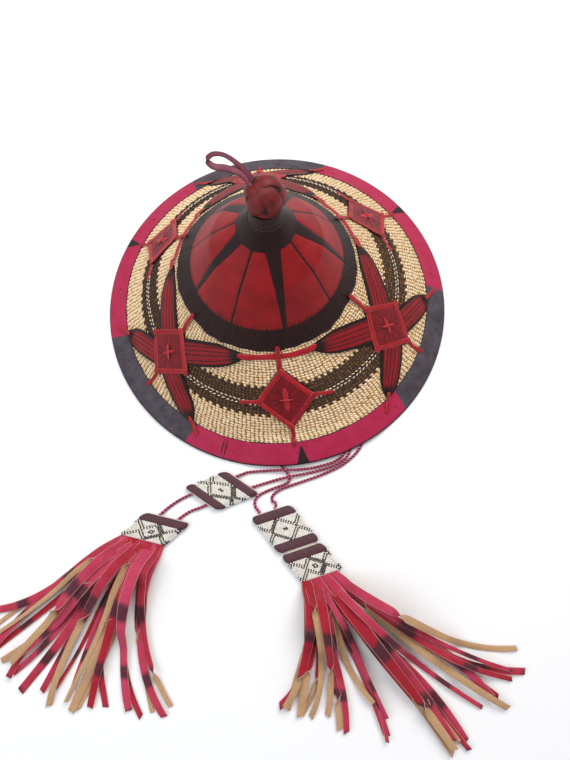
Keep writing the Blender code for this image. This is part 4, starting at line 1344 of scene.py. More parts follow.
@dataclass
class LeatherPatch:
    """One square patch on its corner, with its frame, pleated panel, centre stitches, thongs and arms."""

    number: int
    azimuth: float
    kind: PatchKind
    strip_width: float = 0.0056
    thong_width: float = 0.0046
    arm_width: float = 0.032
    pleats: int = 11
    arm_leaf: tuple[tuple[float, float], ...] = (
        (0.0, 1.0), (0.3, 0.98), (0.6, 0.88), (0.8, 0.66), (0.93, 0.34), (1.0, 0.14),
    )
    upper_reach: float = 40.0
    upper_hem_gap: float = 0.006
    lower_reach: float = 22.0
    lower_band_gap: float = 0.001
    arm_hem_gap: float = 0.0008
    tail_length: float = 0.02
    tail_bend: float = 0.15
    bridge_gap: float = 0.005
    bridge_half_span: float = 23.5
    side_thong_length: float = 0.02

    def corners(self) -> Array:
        """Return the inner, right, outer and left corners on the flat layout."""
        half, side = FORM.patch_half_length, FORM.patch_width / 2
        return np.array([(0.0, -half), (side, 0.0), (0.0, half), (-side, 0.0)])

    def fill(self, count: int, growth: float = 1.0) -> Array:
        """Work out a table of places that fills the patch.

        Args:
            count: Number of rows, and of columns.
            growth: How much larger than the patch it is.

        Returns:
            Places on the flat layout.
        """
        inner, right, _outer, left = self.corners()
        share = ((np.linspace(0.0, 1.0, count) - 0.5) * growth + 0.5)[:, None]
        return inner + (right - inner) * share + ((left - inner) * share)[:, None]

    def on_band(self, radius: Array) -> Array:
        """Return 0 to 1 where leather climbs from the straw to the rim band."""
        return smooth_step((radius - FORM.band_radius + 0.006) / 0.0048)

    def thong_level(self, flat: Array) -> Array:
        """Return the level of the underside of a thong that lies on the straw and climbs on the leather."""
        radius = FORM.unroll(flat)[0]
        past_hem = smooth_step((FORM.hem_radius + 0.006 - radius) / 0.0048)
        return WEAVE_TOP + (FORM.skin + 0.0005 - WEAVE_TOP) * np.maximum(past_hem, self.on_band(radius))

    def build_panel(self) -> None:
        """Build the pleated panel and the dark backing that shows round it."""
        generator = np.random.default_rng(40 + self.number)
        place = self.fill(61)
        # fold marks each pleat's narrow crease, which the pleated leather darkens as painted shade; depth
        # sinks the pleat
        fold = depth = np.zeros(place.shape[:2])
        start = generator.uniform(0.0, math.tau)
        for index in range(self.pleats):
            heading = start + math.tau * (index + generator.uniform(-0.28, 0.28)) / self.pleats
            ahead = place @ np.array([math.cos(heading), math.sin(heading)])
            aside = place @ np.array([-math.sin(heading), math.cos(heading)])
            length = generator.uniform(0.017, 0.027)
            fade = smooth_step((length - ahead) / 0.008) * smooth_step(ahead / 0.003)
            fold = np.maximum(fold, fade * np.exp(-np.square(aside / 0.0007)))
            depth = np.maximum(depth, fade * np.exp(-np.square(aside / 0.0013)))
        puff = 0.0007 * np.exp(-np.square(np.linalg.norm(place, axis=-1) / 0.018))
        level = WEAVE_TOP + PANEL_WALL + puff - 0.0006 * depth
        places = FORM.drape(self.azimuth, place, level)
        panel = sheet(f"patch_{self.number}_panel", places, (False, False), fold=fold)
        thicken(panel, PANEL_WALL * 0.8)
        shade_soft(panel, 60.0)
        finish_piece(panel, PANEL_LEATHER.build(), [f"patch_{self.number}"])

        places = FORM.drape(self.azimuth, self.fill(13, 1.035), WEAVE_TOP + 0.0003)
        backing = sheet(f"patch_{self.number}_backing", places, (False, False))
        thicken(backing, 0.0008)
        finish_piece(backing, DARK_THONG.build())

    def build_frame(self) -> None:
        """Build the four strips of the frame, each over one neighbour and under the other."""
        corners = self.corners()
        generator = np.random.default_rng(70 + self.number)
        strips = []
        for index in range(4):
            start, end = corners[index], corners[(index + 1) % 4]
            ahead, inward = unit(end - start), -unit(start + end)
            share = np.linspace(0.0, 1.0, 26)[:, None]
            beyond = ahead * generator.uniform(0.0004, 0.0022)
            line = (start - beyond) * (1.0 - share) + (end + beyond) * share
            wander = 0.0005 * np.sin(share * generator.uniform(2.0, 5.0) + index)
            line = line + inward * (self.strip_width * 0.46 + wander)
            away = np.linalg.norm(line - start, axis=1)
            over = 1.0 - smooth_step((away - self.strip_width * 0.9) / 0.006)
            base = WEAVE_TOP + PANEL_WALL + 0.0001 + (STRIP_WALL + 0.0001) * over
            width = self.strip_width * (1.0 + 0.06 * np.sin(share[:, 0] * 8.0 + index * 2.0))
            ends = np.minimum(share[:, 0], 1.0 - share[:, 0])
            width = width * (0.72 + 0.28 * smooth_step(ends / 0.06))
            tone = generator.uniform(0.3, 0.9)
            name = f"patch_{self.number}_strip_{index}"
            strips.append(draped_strip(name, self.azimuth, line, width, base, tone))
        frame_piece = join_pieces(f"patch_{self.number}_frame", strips)
        finish_piece(frame_piece, BRIGHT_STRIP.build())

    def build_cross(self) -> None:
        """Build the pointed strips that hold the panel down at its middle."""
        if self.kind is PatchKind.DIAMOND:
            layout = ((91.0, 0.029, 0.0056, 0.0), (4.0, 0.014, 0.0016, STRIP_WALL))
        elif self.number % 4 == 0:
            layout = ((128.0, 0.02, 0.0058, 0.0), (118.0, 0.022, 0.0014, STRIP_WALL))
        else:
            layout = ((122.0, 0.02, 0.0034, 0.0), (48.0, 0.018, 0.003, STRIP_WALL))
        strips = []
        for turn, length, width, lift in layout:
            heading = np.array([math.cos(math.radians(turn)), math.sin(math.radians(turn))])
            share = np.linspace(-1.0, 1.0, 21)
            line = heading * (share * length / 2)[:, None]
            taper = width * (0.12 + 0.88 * np.sqrt(np.clip(1.0 - np.abs(share) ** 2.6, 0.0, 1.0)))
            base = WEAVE_TOP + PANEL_WALL + 0.0006 + lift + 0.0005 * (1.0 - share ** 2)
            strips.append(draped_strip(f"cross_{turn}", self.azimuth, line, taper, base, 0.85))
        piece = join_pieces(f"patch_{self.number}_centre_stitch", strips)
        finish_piece(piece, BRIGHT_STRIP.build())

    def build_thong(
        self, name: str, start: Array, end: Array, tone: float, nodes: list[str], extra: float = 0.0
    ) -> None:
        """Build one thong.

        Args:
            name: The object's name.
            start: Its first place on the flat layout, under the frame's corner.
            end: Its last place.
            tone: Its own shade of the dye.
            nodes: The plain solids that it stands for.
            extra: How much higher its far half lies.
        """
        share = np.linspace(0.0, 1.0, 22)
        line = start * (1.0 - share)[:, None] + end * share[:, None]
        aside = unit(np.array([end[1] - start[1], start[0] - end[0]]))
        line = line + aside * (0.0005 * np.sin(share * 5.0 + self.number))[:, None]
        width = self.thong_width * (1.05 + 0.1 * np.sin(share * 7.0 + self.number))
        width = width * (0.62 + 0.38 * smooth_step((1.0 - share) / 0.12))
        base = self.thong_level(line) + extra * smooth_step(share * 2.0)
        piece = draped_strip(name, self.azimuth, line, width, base, tone)
        finish_piece(piece, THONG_STRIP.build(), nodes)

    def build_thongs(self) -> None:
        """Build the thongs that lace the patch to the hem and the rim band, and its side thongs."""
        inner, right, outer, left = self.corners()
        hem_end = FORM.flatten(FORM.hem_radius - 0.005, 0.0)
        rim_end = FORM.flatten(FORM.band_radius + 0.004, 0.0)
        over_bridge = STRIP_WALL + 0.0003
        tuck = self.strip_width * 0.7
        number = self.number
        self.build_thong(
            f"hem_lace_{number}", inner + (0.0, tuck), hem_end, 0.7, [f"inner_thong_{number}"], over_bridge
        )
        self.build_thong(f"rim_lace_{number}", outer - (0.0, tuck), rim_end, 0.55, [f"outer_thong_{number}"])
        if self.kind is PatchKind.DIAMOND:
            for corner, sign, hand in ((right, 1.0, "right"), (left, -1.0, "left")):
                start = corner - (sign * tuck, 0.0)
                end = corner + (sign * self.side_thong_length, 0.0)
                name = f"side_lace_{number}_{hand}"
                self.build_thong(name, start, end, 0.8, [f"side_thong_{number}_{hand}"])

    def build_bridge(self) -> None:
        """Build the long thong that follows the hem over the tips of the neighbouring arms."""
        share = np.linspace(0.0, 1.0, 60)
        turn = self.bridge_half_span * (2.0 * share - 1.0)
        from_end = self.bridge_half_span - np.abs(turn)
        climb = 1.0 - smooth_step((from_end - 6.5) / 3.0)
        base = WEAVE_TOP + climb * 0.0026
        radius = FORM.hem_radius + self.bridge_gap + 0.0006 * np.sin(share * 9.0 + self.number)
        width = self.thong_width * (1.1 + 0.08 * np.sin(share * 17.0))
        width = width * (0.5 + 0.5 * smooth_step(np.minimum(share, 1.0 - share) / 0.05))
        reach = radius[:, None] + STRIP_SECTION[:, 0] * width[:, None] / 2
        level = base[:, None] + STRIP_WALL * (STRIP_SECTION[:, 1] + 1.0) / 2
        points = FORM.place(reach, (self.azimuth + turn)[:, None], level)
        piece = loft_strip(f"hem_bridge_{self.number}", points, 0.8)
        finish_piece(piece, THONG_STRIP.build(), [f"hem_thong_{self.number}"])

    def arm_section(self) -> Array:
        """Return an arm's cross-section, with many points on its top for the pleats."""
        top = [(place, 1.0) for place in np.linspace(-0.97, 0.97, 33)]
        bottom = [(place, -1.0) for place in np.linspace(0.97, -0.97, 5)]
        return np.array(top + [(1.0, 0.0)] + bottom + [(-1.0, 0.0)])

    def build_arm(self, upper: bool, hand: str) -> None:
        """Build one pleated, leaf-shaped arm.

        Args:
            upper: Whether it runs to the hem, and not to the rim band.
            hand: right or left, seen with the rim below.
        """
        inner, right, outer, _left = self.corners()
        if upper:
            first, second, name = inner, right, "upper"
            tip = FORM.flatten(FORM.hem_radius + self.upper_hem_gap, self.upper_reach)
        else:
            first, second, name = right, outer, "lower"
            tip = FORM.flatten(FORM.band_radius - self.lower_band_gap, self.lower_reach)
        side = unit(second - first)
        outward = np.array([side[1], -side[0]]) * (1.0 if side[1] > 0 else -1.0)
        base = (first + second) / 2 - outward * 0.002
        axis = unit(tip - base)
        across = np.array([-axis[1], axis[0]])
        across = across if across @ side > 0 else -across
        place, through = self.arm_section().T
        share = np.linspace(0.0, 1.0, 44)[:, None]
        leaf = np.interp(share[:, 0], *np.transpose(self.arm_leaf))
        leaf = np.convolve(np.pad(leaf, 2, mode="edge"), np.ones(5) / 5, mode="valid")[:, None]
        middle = base * (1.0 - share) + tip * share
        cross = unit(side * (1.0 - share) + across * share)
        flat = middle[:, None] + cross[:, None] * (place * leaf * self.arm_width / 2)[..., None]
        radius, turn = FORM.unroll(flat)
        radius = np.maximum(radius, FORM.hem_radius + FORM.skin + self.arm_hem_gap)
        generator = np.random.default_rng(self.number * 4 + (2 if upper else 0) + (hand == "left"))
        lines = np.array([-0.55, -0.2, 0.16, 0.52]) + generator.uniform(-0.05, 0.05, 4)
        reach = place + 0.05 * np.sin(share * 4.0 + generator.uniform(0, 6))
        gap = np.abs(reach[..., None] - lines).min(axis=-1)
        top = through > 0.5
        # fold marks the sunk pleat lines, which the pleated leather darkens as painted shade
        fold = np.exp(-np.square(gap / 0.055)) * smooth_step((0.95 - share) / 0.15) * top
        puff = top * (0.0006 * leaf + 0.0004 * np.cos(place * math.pi / 2)) - 0.0006 * fold
        climb = self.on_band(radius) * (FORM.skin - WEAVE_TOP + 0.0004)
        sign = 1.0 if hand == "right" else -1.0
        level = WEAVE_TOP + 0.0006 * (through + 1.0) + puff + climb
        points = FORM.place(radius, self.azimuth + sign * turn, level)
        piece = loft(f"{name}_leaf_{self.number}_{hand}", points, across=place, reach=share, fold=fold)
        finish_piece(piece, ARM_LEATHER.build(), [f"{name}_arm_{self.number}_{hand}"])
        if not upper:
            self.build_tail(tip, axis, sign, hand)

    def build_tail(self, tip: Array, axis: Array, sign: float, hand: str) -> None:
        """Build the red thong that ends a lower arm and crosses on to the rim band.

        Args:
            tip: Where the arm ends on the flat layout.
            axis: The arm's direction.
            sign: 1 on the right, -1 on the left.
            hand: right or left.
        """
        heading = unit(axis + np.array([0.0, self.tail_bend]))
        share = np.linspace(-0.35, 1.0, 22)
        line = tip + heading * (share * self.tail_length)[:, None]
        width = self.thong_width * (0.75 + 0.35 * np.sin(np.linspace(0.2, 2.7, 22)))
        base = self.thong_level(line) + 0.0006 + 0.0016 * smooth_step((0.1 - share) / 0.3)
        line[:, 0] *= sign
        piece = draped_strip(f"leaf_tail_{self.number}_{hand}", self.azimuth, line, width, base, 0.75)
        finish_piece(piece, THONG_STRIP.build())

    def build(self) -> None:
        """Build the patch and all that is laced to it."""
        self.build_panel()
        self.build_frame()
        self.build_cross()
        self.build_thongs()
        if self.kind is PatchKind.DIAMOND:
            self.build_bridge()
            return
        for upper in (True, False):
            for hand in ("right", "left"):
                self.build_arm(upper, hand)


# Routes of the tie strands in millimetres, from the tabs inside the brim to the sliders and heads
RIGHT_TIE_ONE_ROUTE = (
    (102.7, -2.2, 77.6), (103.0, -2.4, 66.0), (102.6, -3.5, 40.0), (101.0, -8.0, 16.0), (97.0, -20.0, 3.2),
    (93.0, -38.0, 1.5), (86.0, -80.0, 1.5), (80.0, -125.0, 1.5), (76.0, -160.0, 1.5), (74.3, -182.0, 1.5),
    (71.8, -196.0, 1.5), (66.0, -206.5, 1.5), (56.0, -212.8, 1.5), (44.0, -216.3, 1.5), (28.0, -219.0, 1.6),
    (10.0, -219.8, 3.4), (-4.5, -219.4, 4.8), (-19.0, -218.8, 3.4), (-34.0, -218.5, 1.6),
    (-46.0, -218.8, 2.2), (-55.3, -221.1, 3.2),
)
RIGHT_TIE_TWO_ROUTE = (
    (102.7, 2.2, 77.6), (103.4, 2.0, 66.0), (103.4, 1.0, 40.0), (102.6, -4.0, 16.5), (100.8, -17.5, 3.4),
    (97.2, -38.0, 1.5), (90.2, -80.0, 1.5), (84.2, -125.0, 1.5), (80.2, -160.0, 1.5), (78.5, -182.0, 1.5),
    (76.2, -197.0, 1.5), (71.8, -207.0, 1.5), (63.0, -214.0, 1.5), (50.0, -219.2, 1.5), (36.0, -222.6, 1.5),
    (19.0, -225.4, 3.0), (1.5, -227.6, 4.8), (-15.0, -230.2, 3.0), (-29.0, -233.2, 1.5),
    (-40.0, -235.8, 2.2), (-49.9, -238.5, 3.2),
)
LEFT_TIE_ONE_ROUTE = (
    (-116.3, -2.2, 77.6), (-116.6, -2.4, 66.0), (-115.8, -3.5, 40.0), (-112.5, -8.0, 16.0),
    (-104.5, -18.5, 3.2), (-94.5, -34.5, 1.5), (-69.0, -76.5, 1.5), (-30.0, -122.0, 1.5),
    (10.0, -148.0, 1.5), (38.0, -158.0, 1.8), (58.0, -161.5, 3.6), (78.0, -165.5, 5.0), (89.0, -173.5, 3.2),
    (92.5, -183.5, 1.5), (90.0, -194.0, 1.5), (83.8, -202.8, 1.5), (75.2, -210.5, 1.5), (63.6, -218.0, 1.5),
    (50.0, -223.8, 1.5), (34.6, -229.0, 1.5), (16.0, -234.0, 1.5), (-1.0, -238.4, 1.5), (-10.0, -241.3, 1.5),
    (-16.8, -244.8, 1.5), (-20.8, -249.3, 1.8), (-20.5, -254.0, 2.4), (-16.9, -258.8, 3.2),
)
LEFT_TIE_TWO_ROUTE = (
    (-116.3, 2.2, 77.6), (-116.9, 2.0, 66.0), (-116.9, 1.0, 40.0), (-115.2, -4.0, 16.5),
    (-110.0, -17.0, 3.4), (-101.2, -33.5, 1.5), (-78.0, -73.0, 1.5), (-50.0, -117.0, 1.5),
    (-30.0, -157.0, 1.5), (-19.0, -186.0, 1.5), (-14.0, -201.0, 1.5), (-9.0, -212.0, 1.5),
    (-3.5, -220.0, 1.5), (0.8, -226.2, 1.5), (0.0, -232.5, 1.5), (-6.2, -236.0, 1.5), (-15.0, -238.6, 1.5),
    (-26.0, -242.0, 1.5), (-35.5, -246.2, 1.5), (-40.8, -252.2, 1.5), (-40.5, -259.2, 2.0),
    (-37.2, -264.0, 2.6), (-32.4, -270.0, 3.2),
)
HEAD_CORD_ONE_ROUTE = (
    (-107.6, -237.6, 3.2), (-118.0, -240.8, 2.2), (-128.0, -245.0, 1.6), (-138.5, -251.0, 2.2),
    (-146.2, -256.7, 3.2), (-160.0, -267.5, 3.6),
)
HEAD_CORD_TWO_ROUTE = (
    (-102.2, -254.9, 3.2), (-111.0, -257.2, 2.2), (-119.0, -260.3, 1.6), (-127.5, -265.3, 2.2),
    (-135.2, -270.8, 3.2), (-148.0, -280.6, 3.6),
)


def floor_place(start: tuple[float, float], heading: float, points: Array) -> Array:
    """Set points of a piece's own frame down on the floor.

    Args:
        start: Where the frame's origin lies on the floor.
        heading: Direction of the frame's second axis, in degrees.
        points: Places across, along and up, a row for each.

    Returns:
        The places in the hat's frame.
    """
    turn = math.radians(heading - 90.0)
    across, along = points[..., 0], points[..., 1]
    return np.stack([
        start[0] + across * math.cos(turn) - along * math.sin(turn),
        start[1] + across * math.sin(turn) + along * math.cos(turn),
        points[..., 2],
    ], axis=-1)


class Ends(Enum):
    """Which ends of a beaded sleeve are rolled leather."""

    BOTH = "both"
    FIRST = "first"


@dataclass
class BeadedSleeve:
    """A flat leather sleeve covered with rows of glass beads between rolled ends."""

    name: str
    start: tuple[float, float]
    heading: float
    length: float
    width: float
    ends: Ends
    node: str
    skew: float
    thickness: float = 0.008
    rolled: float = 0.0122
    bead: float = 0.0016
    columns: int = 72

    def place(self, points: Array) -> Array:
        """Return where the sleeve's own points lie; its ends slant, as the work is drawn askew."""
        slanted = points + points[..., :1] * np.array([0.0, self.skew, 0.0])
        return floor_place(self.start, self.heading, slanted)

    def outline(self, width: float, thickness: float, count: int) -> Array:
        """Go evenly round a flat, round-sided section.

        Args:
            width: The section's width.
            thickness: Its thickness.
            count: Number of places.

        Returns:
            Rows of across, up, outward across and outward up.
        """
        radius, half = thickness / 2, (width - thickness) / 2
        knots = np.cumsum([0.0, 2 * half, math.pi * radius, 2 * half, math.pi * radius])
        along = knots[-1] * np.arange(count) / count
        turn = np.interp(along, knots, (0.0, 0.0, math.pi, math.pi, math.tau))
        middle = np.interp(along, knots, (-half, half, half, -half, -half))
        across, up = np.sin(turn), np.cos(turn)
        return np.stack([middle + radius * across, radius + radius * up, across, up], axis=1)

    def build_core(self) -> Piece:
        """Build the leather core with its rolled ends."""
        low, high = self.thickness - 2 * self.bead * 0.62, self.thickness
        # Place along the sleeve, thickness and how far each side is drawn in, from the rolled end inwards
        stations = [
            (0.0, high * 0.45, 0.005), (0.0007, high * 0.74, 0.003), (0.0022, high * 0.93, 0.0012),
            (0.0048, high, 0.0002), (0.0084, high, -0.0004), (0.0112, high * 0.93, 0.0),
            (0.0124, high * 0.8, 0.001), (0.0128, low, 0.0016),
        ]
        if self.ends is Ends.BOTH:
            stations += [(self.length - place, size, draw) for place, size, draw in reversed(stations)]
        else:
            stations += [(self.length - 0.001, low, 0.0014), (self.length, low * 0.7, 0.002)]
        rows = []
        for place, size, draw in stations:
            ring = self.outline(self.width - (self.thickness - size) - 2 * draw, size, self.columns)
            ripple = 0.00018 * np.sin(ring[:, 0] * 900.0 + place * 300.0) * (size > low)
            up = np.maximum(ring[:, 1] + (self.thickness - size) / 2 + ripple, 0.0001)
            rows.append(np.column_stack([ring[:, 0], np.full(self.columns, place), up]))
        # Under the beads the leather is covered with pale thread
        thread = np.array([[-1.0 if size <= low else 1.0] for _place, size, _draw in stations])
        core = loft(f"{self.name}_leather", self.place(np.array(rows)), tone=0.6, through=thread)
        nodes = [self.node] if self.ends is Ends.BOTH else []
        return finish_piece(core, ROLLED_LEATHER.build(), nodes)

    def is_dark(self, across: float, along: float, zigzag: float) -> bool:
        """Return whether a bead is dark: double zigzags meet in diamonds, with a ring in the middle."""
        off = abs(along) - abs(across % (2 * zigzag) - zigzag)
        return abs(off) < 0.6 or abs(off - 2.0) < 0.6 or 0.4 < max(abs(across), abs(along)) < 1.5

    def build_beads(self) -> Piece:
        """Build the beads, row by row round the sleeve."""
        generator = np.random.default_rng(len(self.name) + int(self.width * 10000))
        bead, inset = self.bead, self.bead * 0.42
        deselect_all()
        bpy.ops.mesh.primitive_uv_sphere_add(segments=6, ring_count=4, radius=bead / 2)
        template = bpy.context.active_object
        base = read_points(template)
        span = self.length - (self.rolled if self.ends is Ends.BOTH else 0.001) - self.rolled
        rows = int(span / (bead * 0.98))
        perimeter = 2 * (self.width - self.thickness) + math.pi * (self.thickness - 2 * inset)
        columns = int(perimeter / (bead * 1.02))
        ring = self.outline(self.width - 2 * inset, self.thickness - 2 * inset, columns)
        frames, dark = [], []
        for row in range(rows):
            along = span * (row + 0.5) / rows
            shift = generator.uniform(-0.15, 0.15) * bead
            for across, up, out_across, out_up in ring:
                jitter = generator.normal(0.0, 0.03, 3) * bead
                size = generator.uniform(1.04, 1.16)
                frames.append([
                    (out_up * size, 0.0, out_across * size * 0.92, across + shift * abs(out_up) + jitter[0]),
                    (0.0, size * 0.98, 0.0, self.rolled + along + jitter[1]),
                    (-out_across * size, 0.0, out_up * size * 0.92, max(up + inset, bead * 0.5)),
                    (0.0, 0.0, 0.0, 1.0),
                ])
                dark.append(self.is_dark(across / bead, (along - span / 2) / bead, rows // 2 - 1.0))
        frames = np.array(frames)
        spin = Matrix.Rotation(math.radians(self.heading - 90.0), 3, "Z")
        frames[:, :3, :3] = np.array(spin) @ frames[:, :3, :3]
        frames[:, :3, 3] = self.place(frames[:, :3, 3])
        beads = copies_of(template, f"{self.name}_beads", frames)
        give_attribute(beads, "dark", np.repeat(dark, len(base)))
        give_attribute(beads, "tone", np.repeat(generator.uniform(0.0, 1.0, len(frames)), len(base)))
        # height: how far out from the sleeve each bead point lies; the bead material paints shade on the
        # inner half
        give_attribute(beads, "height", np.tile(base[:, 2] / (bead / 2), len(frames)))
        return finish_piece(beads, GlassBeads().build())

    def build(self) -> list[Piece]:
        """Build the core and its beads, and return both."""
        return [self.build_core(), self.build_beads()]


@dataclass
class HeightMap:
    """Heights of what already lies on a square of floor, so that each strip lies on those before it."""

    low: Array
    cell: float = 0.0028
    heights: Array = field(default_factory=lambda: np.zeros((237, 237)))

    def cells(self, places: Array) -> tuple[Array, Array]:
        """Return the row and column of each place."""
        index = np.rint((places - self.low) / self.cell).astype(int).clip(0, len(self.heights) - 1)
        return index[..., 0], index[..., 1]

    def highest(self, places: Array) -> Array:
        """Return the greatest height along the last axis of a grid of places."""
        return self.heights[self.cells(places)].max(axis=-1)

    def cover(self, places: Array, tops: Array) -> None:
        """Raise the map over a grid of places to a new strip's top at each station."""
        np.maximum.at(self.heights, self.cells(places), np.broadcast_to(tops[:, None], places.shape[:2]))


@dataclass
class Tassel:
    """A fringe of hide strips that fans out on the floor from its beaded head."""

    name: str
    head: BeadedSleeve
    node: str
    locks: Route
    strips: int
    seed: int
    puff: float
    turned_share: float
    strip_width: float = 0.0125
    wall: float = 0.0012
    drop: float = 0.045
    pressed: float = 0.18
    steps: int = 72
    taper: tuple[tuple[float, ...], ...] = ((0.0, 0.1, 0.35, 0.7, 1.0), (0.75, 1.0, 0.9, 0.66, 0.56))

    def strip_line(self, share: float, generator: np.random.Generator) -> Array:
        """Work out where one strip runs on the floor.

        Args:
            share: The strip's root across the head, from -1 at its left to 1.
            generator: The source of chance.

        Returns:
            Places on the floor, root to tip.
        """
        table = np.array(self.locks)
        aim = np.clip(share + generator.normal(0.0, 0.16), -0.9, 0.9)
        target = np.interp(aim, table[:, 2], table[:, 0]) + generator.normal(0.0, 2.0)
        length = np.interp(aim, table[:, 2], table[:, 1]) * generator.uniform(0.9, 1.03)
        across = -share * (self.head.width - 0.013) / 2
        root = self.head.place(np.array([across, self.head.length - 0.006, 0.0]))[:2]
        along = np.linspace(0.0, 1.0, self.steps)
        wave = generator.uniform(-7.0, 7.0) * np.sin(
            along * generator.uniform(3.0, 6.0) + generator.uniform(0, 6.2)
        )
        curl = generator.normal(0.0, 16.0) * smooth_step((along - 0.5) / 0.5)
        heading = self.head.heading + (target - self.head.heading) * (0.35 + 0.75 * along)
        heading = np.radians(heading + (wave + curl) * smooth_step(along / 0.15))
        step = np.stack([np.cos(heading), np.sin(heading)], axis=1) * (length / (self.steps - 1))
        return root + np.concatenate([np.zeros((1, 2)), np.cumsum(step[:-1], axis=0)])

    def strip_twist(self, along: Array, generator: np.random.Generator) -> Array:
        """Return how far a strip is turned over at each place along it, in radians."""
        sway = np.sin(along * generator.uniform(5.0, 11.0) + generator.uniform(0, 6.2))
        twist = 0.28 * sway * smooth_step(along / 0.2)
        if generator.random() < self.turned_share:
            return twist + math.pi * smooth_step((along - generator.uniform(0.1, 0.75)) / 0.12)
        return twist

    def build_strip(self, index: int, ground: HeightMap, generator: np.random.Generator) -> Piece:
        """Build one strip on top of those before it.

        Args:
            index: The strip's number.
            ground: What already lies on the floor.
            generator: The source of chance.

        Returns:
            The strip.
        """
        share = -0.95 + 1.9 * ((index * 7) % self.strips) / (self.strips - 1)
        line = self.strip_line(share, generator)
        along = np.linspace(0.0, 1.0, self.steps)
        ahead = unit(np.gradient(line, axis=0))
        side = np.stack([-ahead[:, 1], ahead[:, 0]], axis=1)
        width = self.strip_width * generator.uniform(0.55, 1.2) * np.interp(along, *self.taper)
        twist = self.strip_twist(along, generator)
        spread = line[:, None] + side[:, None] * (np.linspace(-0.5, 0.5, 9)[:, None] * width[:, None, None])
        under = ground.highest(spread)
        reach = np.array([under[max(0, k - 3):k + 4].max() for k in range(self.steps)])
        kernel = np.exp(-np.square(np.arange(-6, 7) / 3.0))
        eased = np.convolve(np.pad(reach, 6, mode="edge"), kernel / kernel.sum(), mode="valid")
        base = np.maximum(eased, under + 0.0001)
        root_height = 0.0018 + 0.002 * ((index * 5) % 3) / 2
        root_fade = 1.0 - smooth_step(along * 0.2 / self.drop)
        base = np.maximum(base * (1.0 - root_fade), root_height * root_fade)
        arch = self.puff * generator.uniform(0.0, 1.0) * np.exp(-np.square((along - 0.16) / 0.1))
        bow = generator.uniform(0.0, 0.004) * np.square(np.sin(along * generator.uniform(3.0, 7.0)))
        base = np.maximum(base, arch) + bow * smooth_step(along / 0.3)
        cosine, sine = np.cos(twist)[:, None], np.sin(twist)[:, None]
        half = self.wall / 2 * np.abs(cosine[:, 0]) + width / 2 * np.abs(sine[:, 0])
        middle = np.column_stack([line, base + half + 0.0001])
        flat_side = np.column_stack([side, np.zeros(self.steps)])
        upward = np.array([0.0, 0.0, 1.0])
        across, lift = flat_side * cosine + upward * sine, upward * cosine - flat_side * sine
        stations = strip_stations(middle, across, lift, width, self.wall)
        # The tip is cut off at a slant
        slant = STRIP_SECTION[:, :1] * generator.uniform(-0.3, 0.3) * width[-1]
        stations[-2:, :, :2] += ahead[-2:, None] * slant
        # Leather gives way under the strips that lie on it
        ground.cover(spread, base + self.wall + self.pressed * (2.0 * half - self.wall))
        tone = generator.uniform(0.0, 1.0)
        return loft_strip(f"{self.name}_{index}", stations, tone, share=along[:, None])

    def build(self) -> Piece:
        """Build all the strips and join them."""
        generator = np.random.default_rng(self.seed)
        ground = HeightMap(np.array(self.head.start) - 0.33)
        strips = [self.build_strip(index, ground, generator) for index in range(self.strips)]
        piece = join_pieces(f"{self.name}_strips", strips)
        return finish_piece(piece, FringeSuede().build(), [self.node])


@dataclass
class ChinTie:
    """One strand of a chin tie, spun from two plies, with its route from the tab to the tassel's head."""

    name: str
    routes: tuple[Route, ...]
    nodes: tuple[str, ...]
    diameter: float = 0.003
    pitch: float = 0.008

    def wind(self, line: Array) -> list[Piece]:
        """Wind two plies round the strand's line.

        Args:
            line: The strand's line, close enough together for its twist.

        Returns:
            The plies.
        """
        ahead = unit(np.gradient(line, axis=0))
        normal = np.cross(ahead[0], [0.0, 1.0, 0.0])
        normals = np.zeros(line.shape)
        for row, direction in enumerate(ahead):
            normal = unit(normal - direction * (normal @ direction))
            normals[row] = normal
        second = np.cross(ahead, normals)
        offset, thick = self.diameter * 0.3, self.diameter * 0.32
        corners = (np.arange(7) / 7 * math.tau)[:, None]
        plies = []
        for number in range(2):
            turn = (distances(line) / self.pitch * math.tau + number * math.pi)[:, None]
            out = normals * np.cos(turn) + second * np.sin(turn)
            beside = np.cross(ahead, out)[:, None]
            ring = thick * (out[:, None] * np.cos(corners) + beside * np.sin(corners) * 1.25)
            stations = (line + out * offset)[:, None] + ring
            # outer: how far each point faces away from the other ply; the cord material paints shade where it
            # is low
            plies.append(loft(f"{self.name}_ply_{number}", stations, outer=np.cos(corners)[:, 0]))
        return plies

    def build(self, with_pieces: Sequence[Piece]) -> None:
        """Args:
            with_pieces: The sleeves that it runs through and ends in; not used.
        """
        line = catmull(MM * np.array([point for route in self.routes for point in route]), self.pitch / 9)
        line[:, 2] = np.maximum(line[:, 2], self.diameter * 0.72)
        piece = join_pieces(f"{self.name}_strand", self.wind(line))
        finish_piece(piece, TwistedCord().build(), self.nodes)
        coarse = line[::6].tolist() + [line[-1].tolist()]
        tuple(coarse[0])
        list(with_pieces)


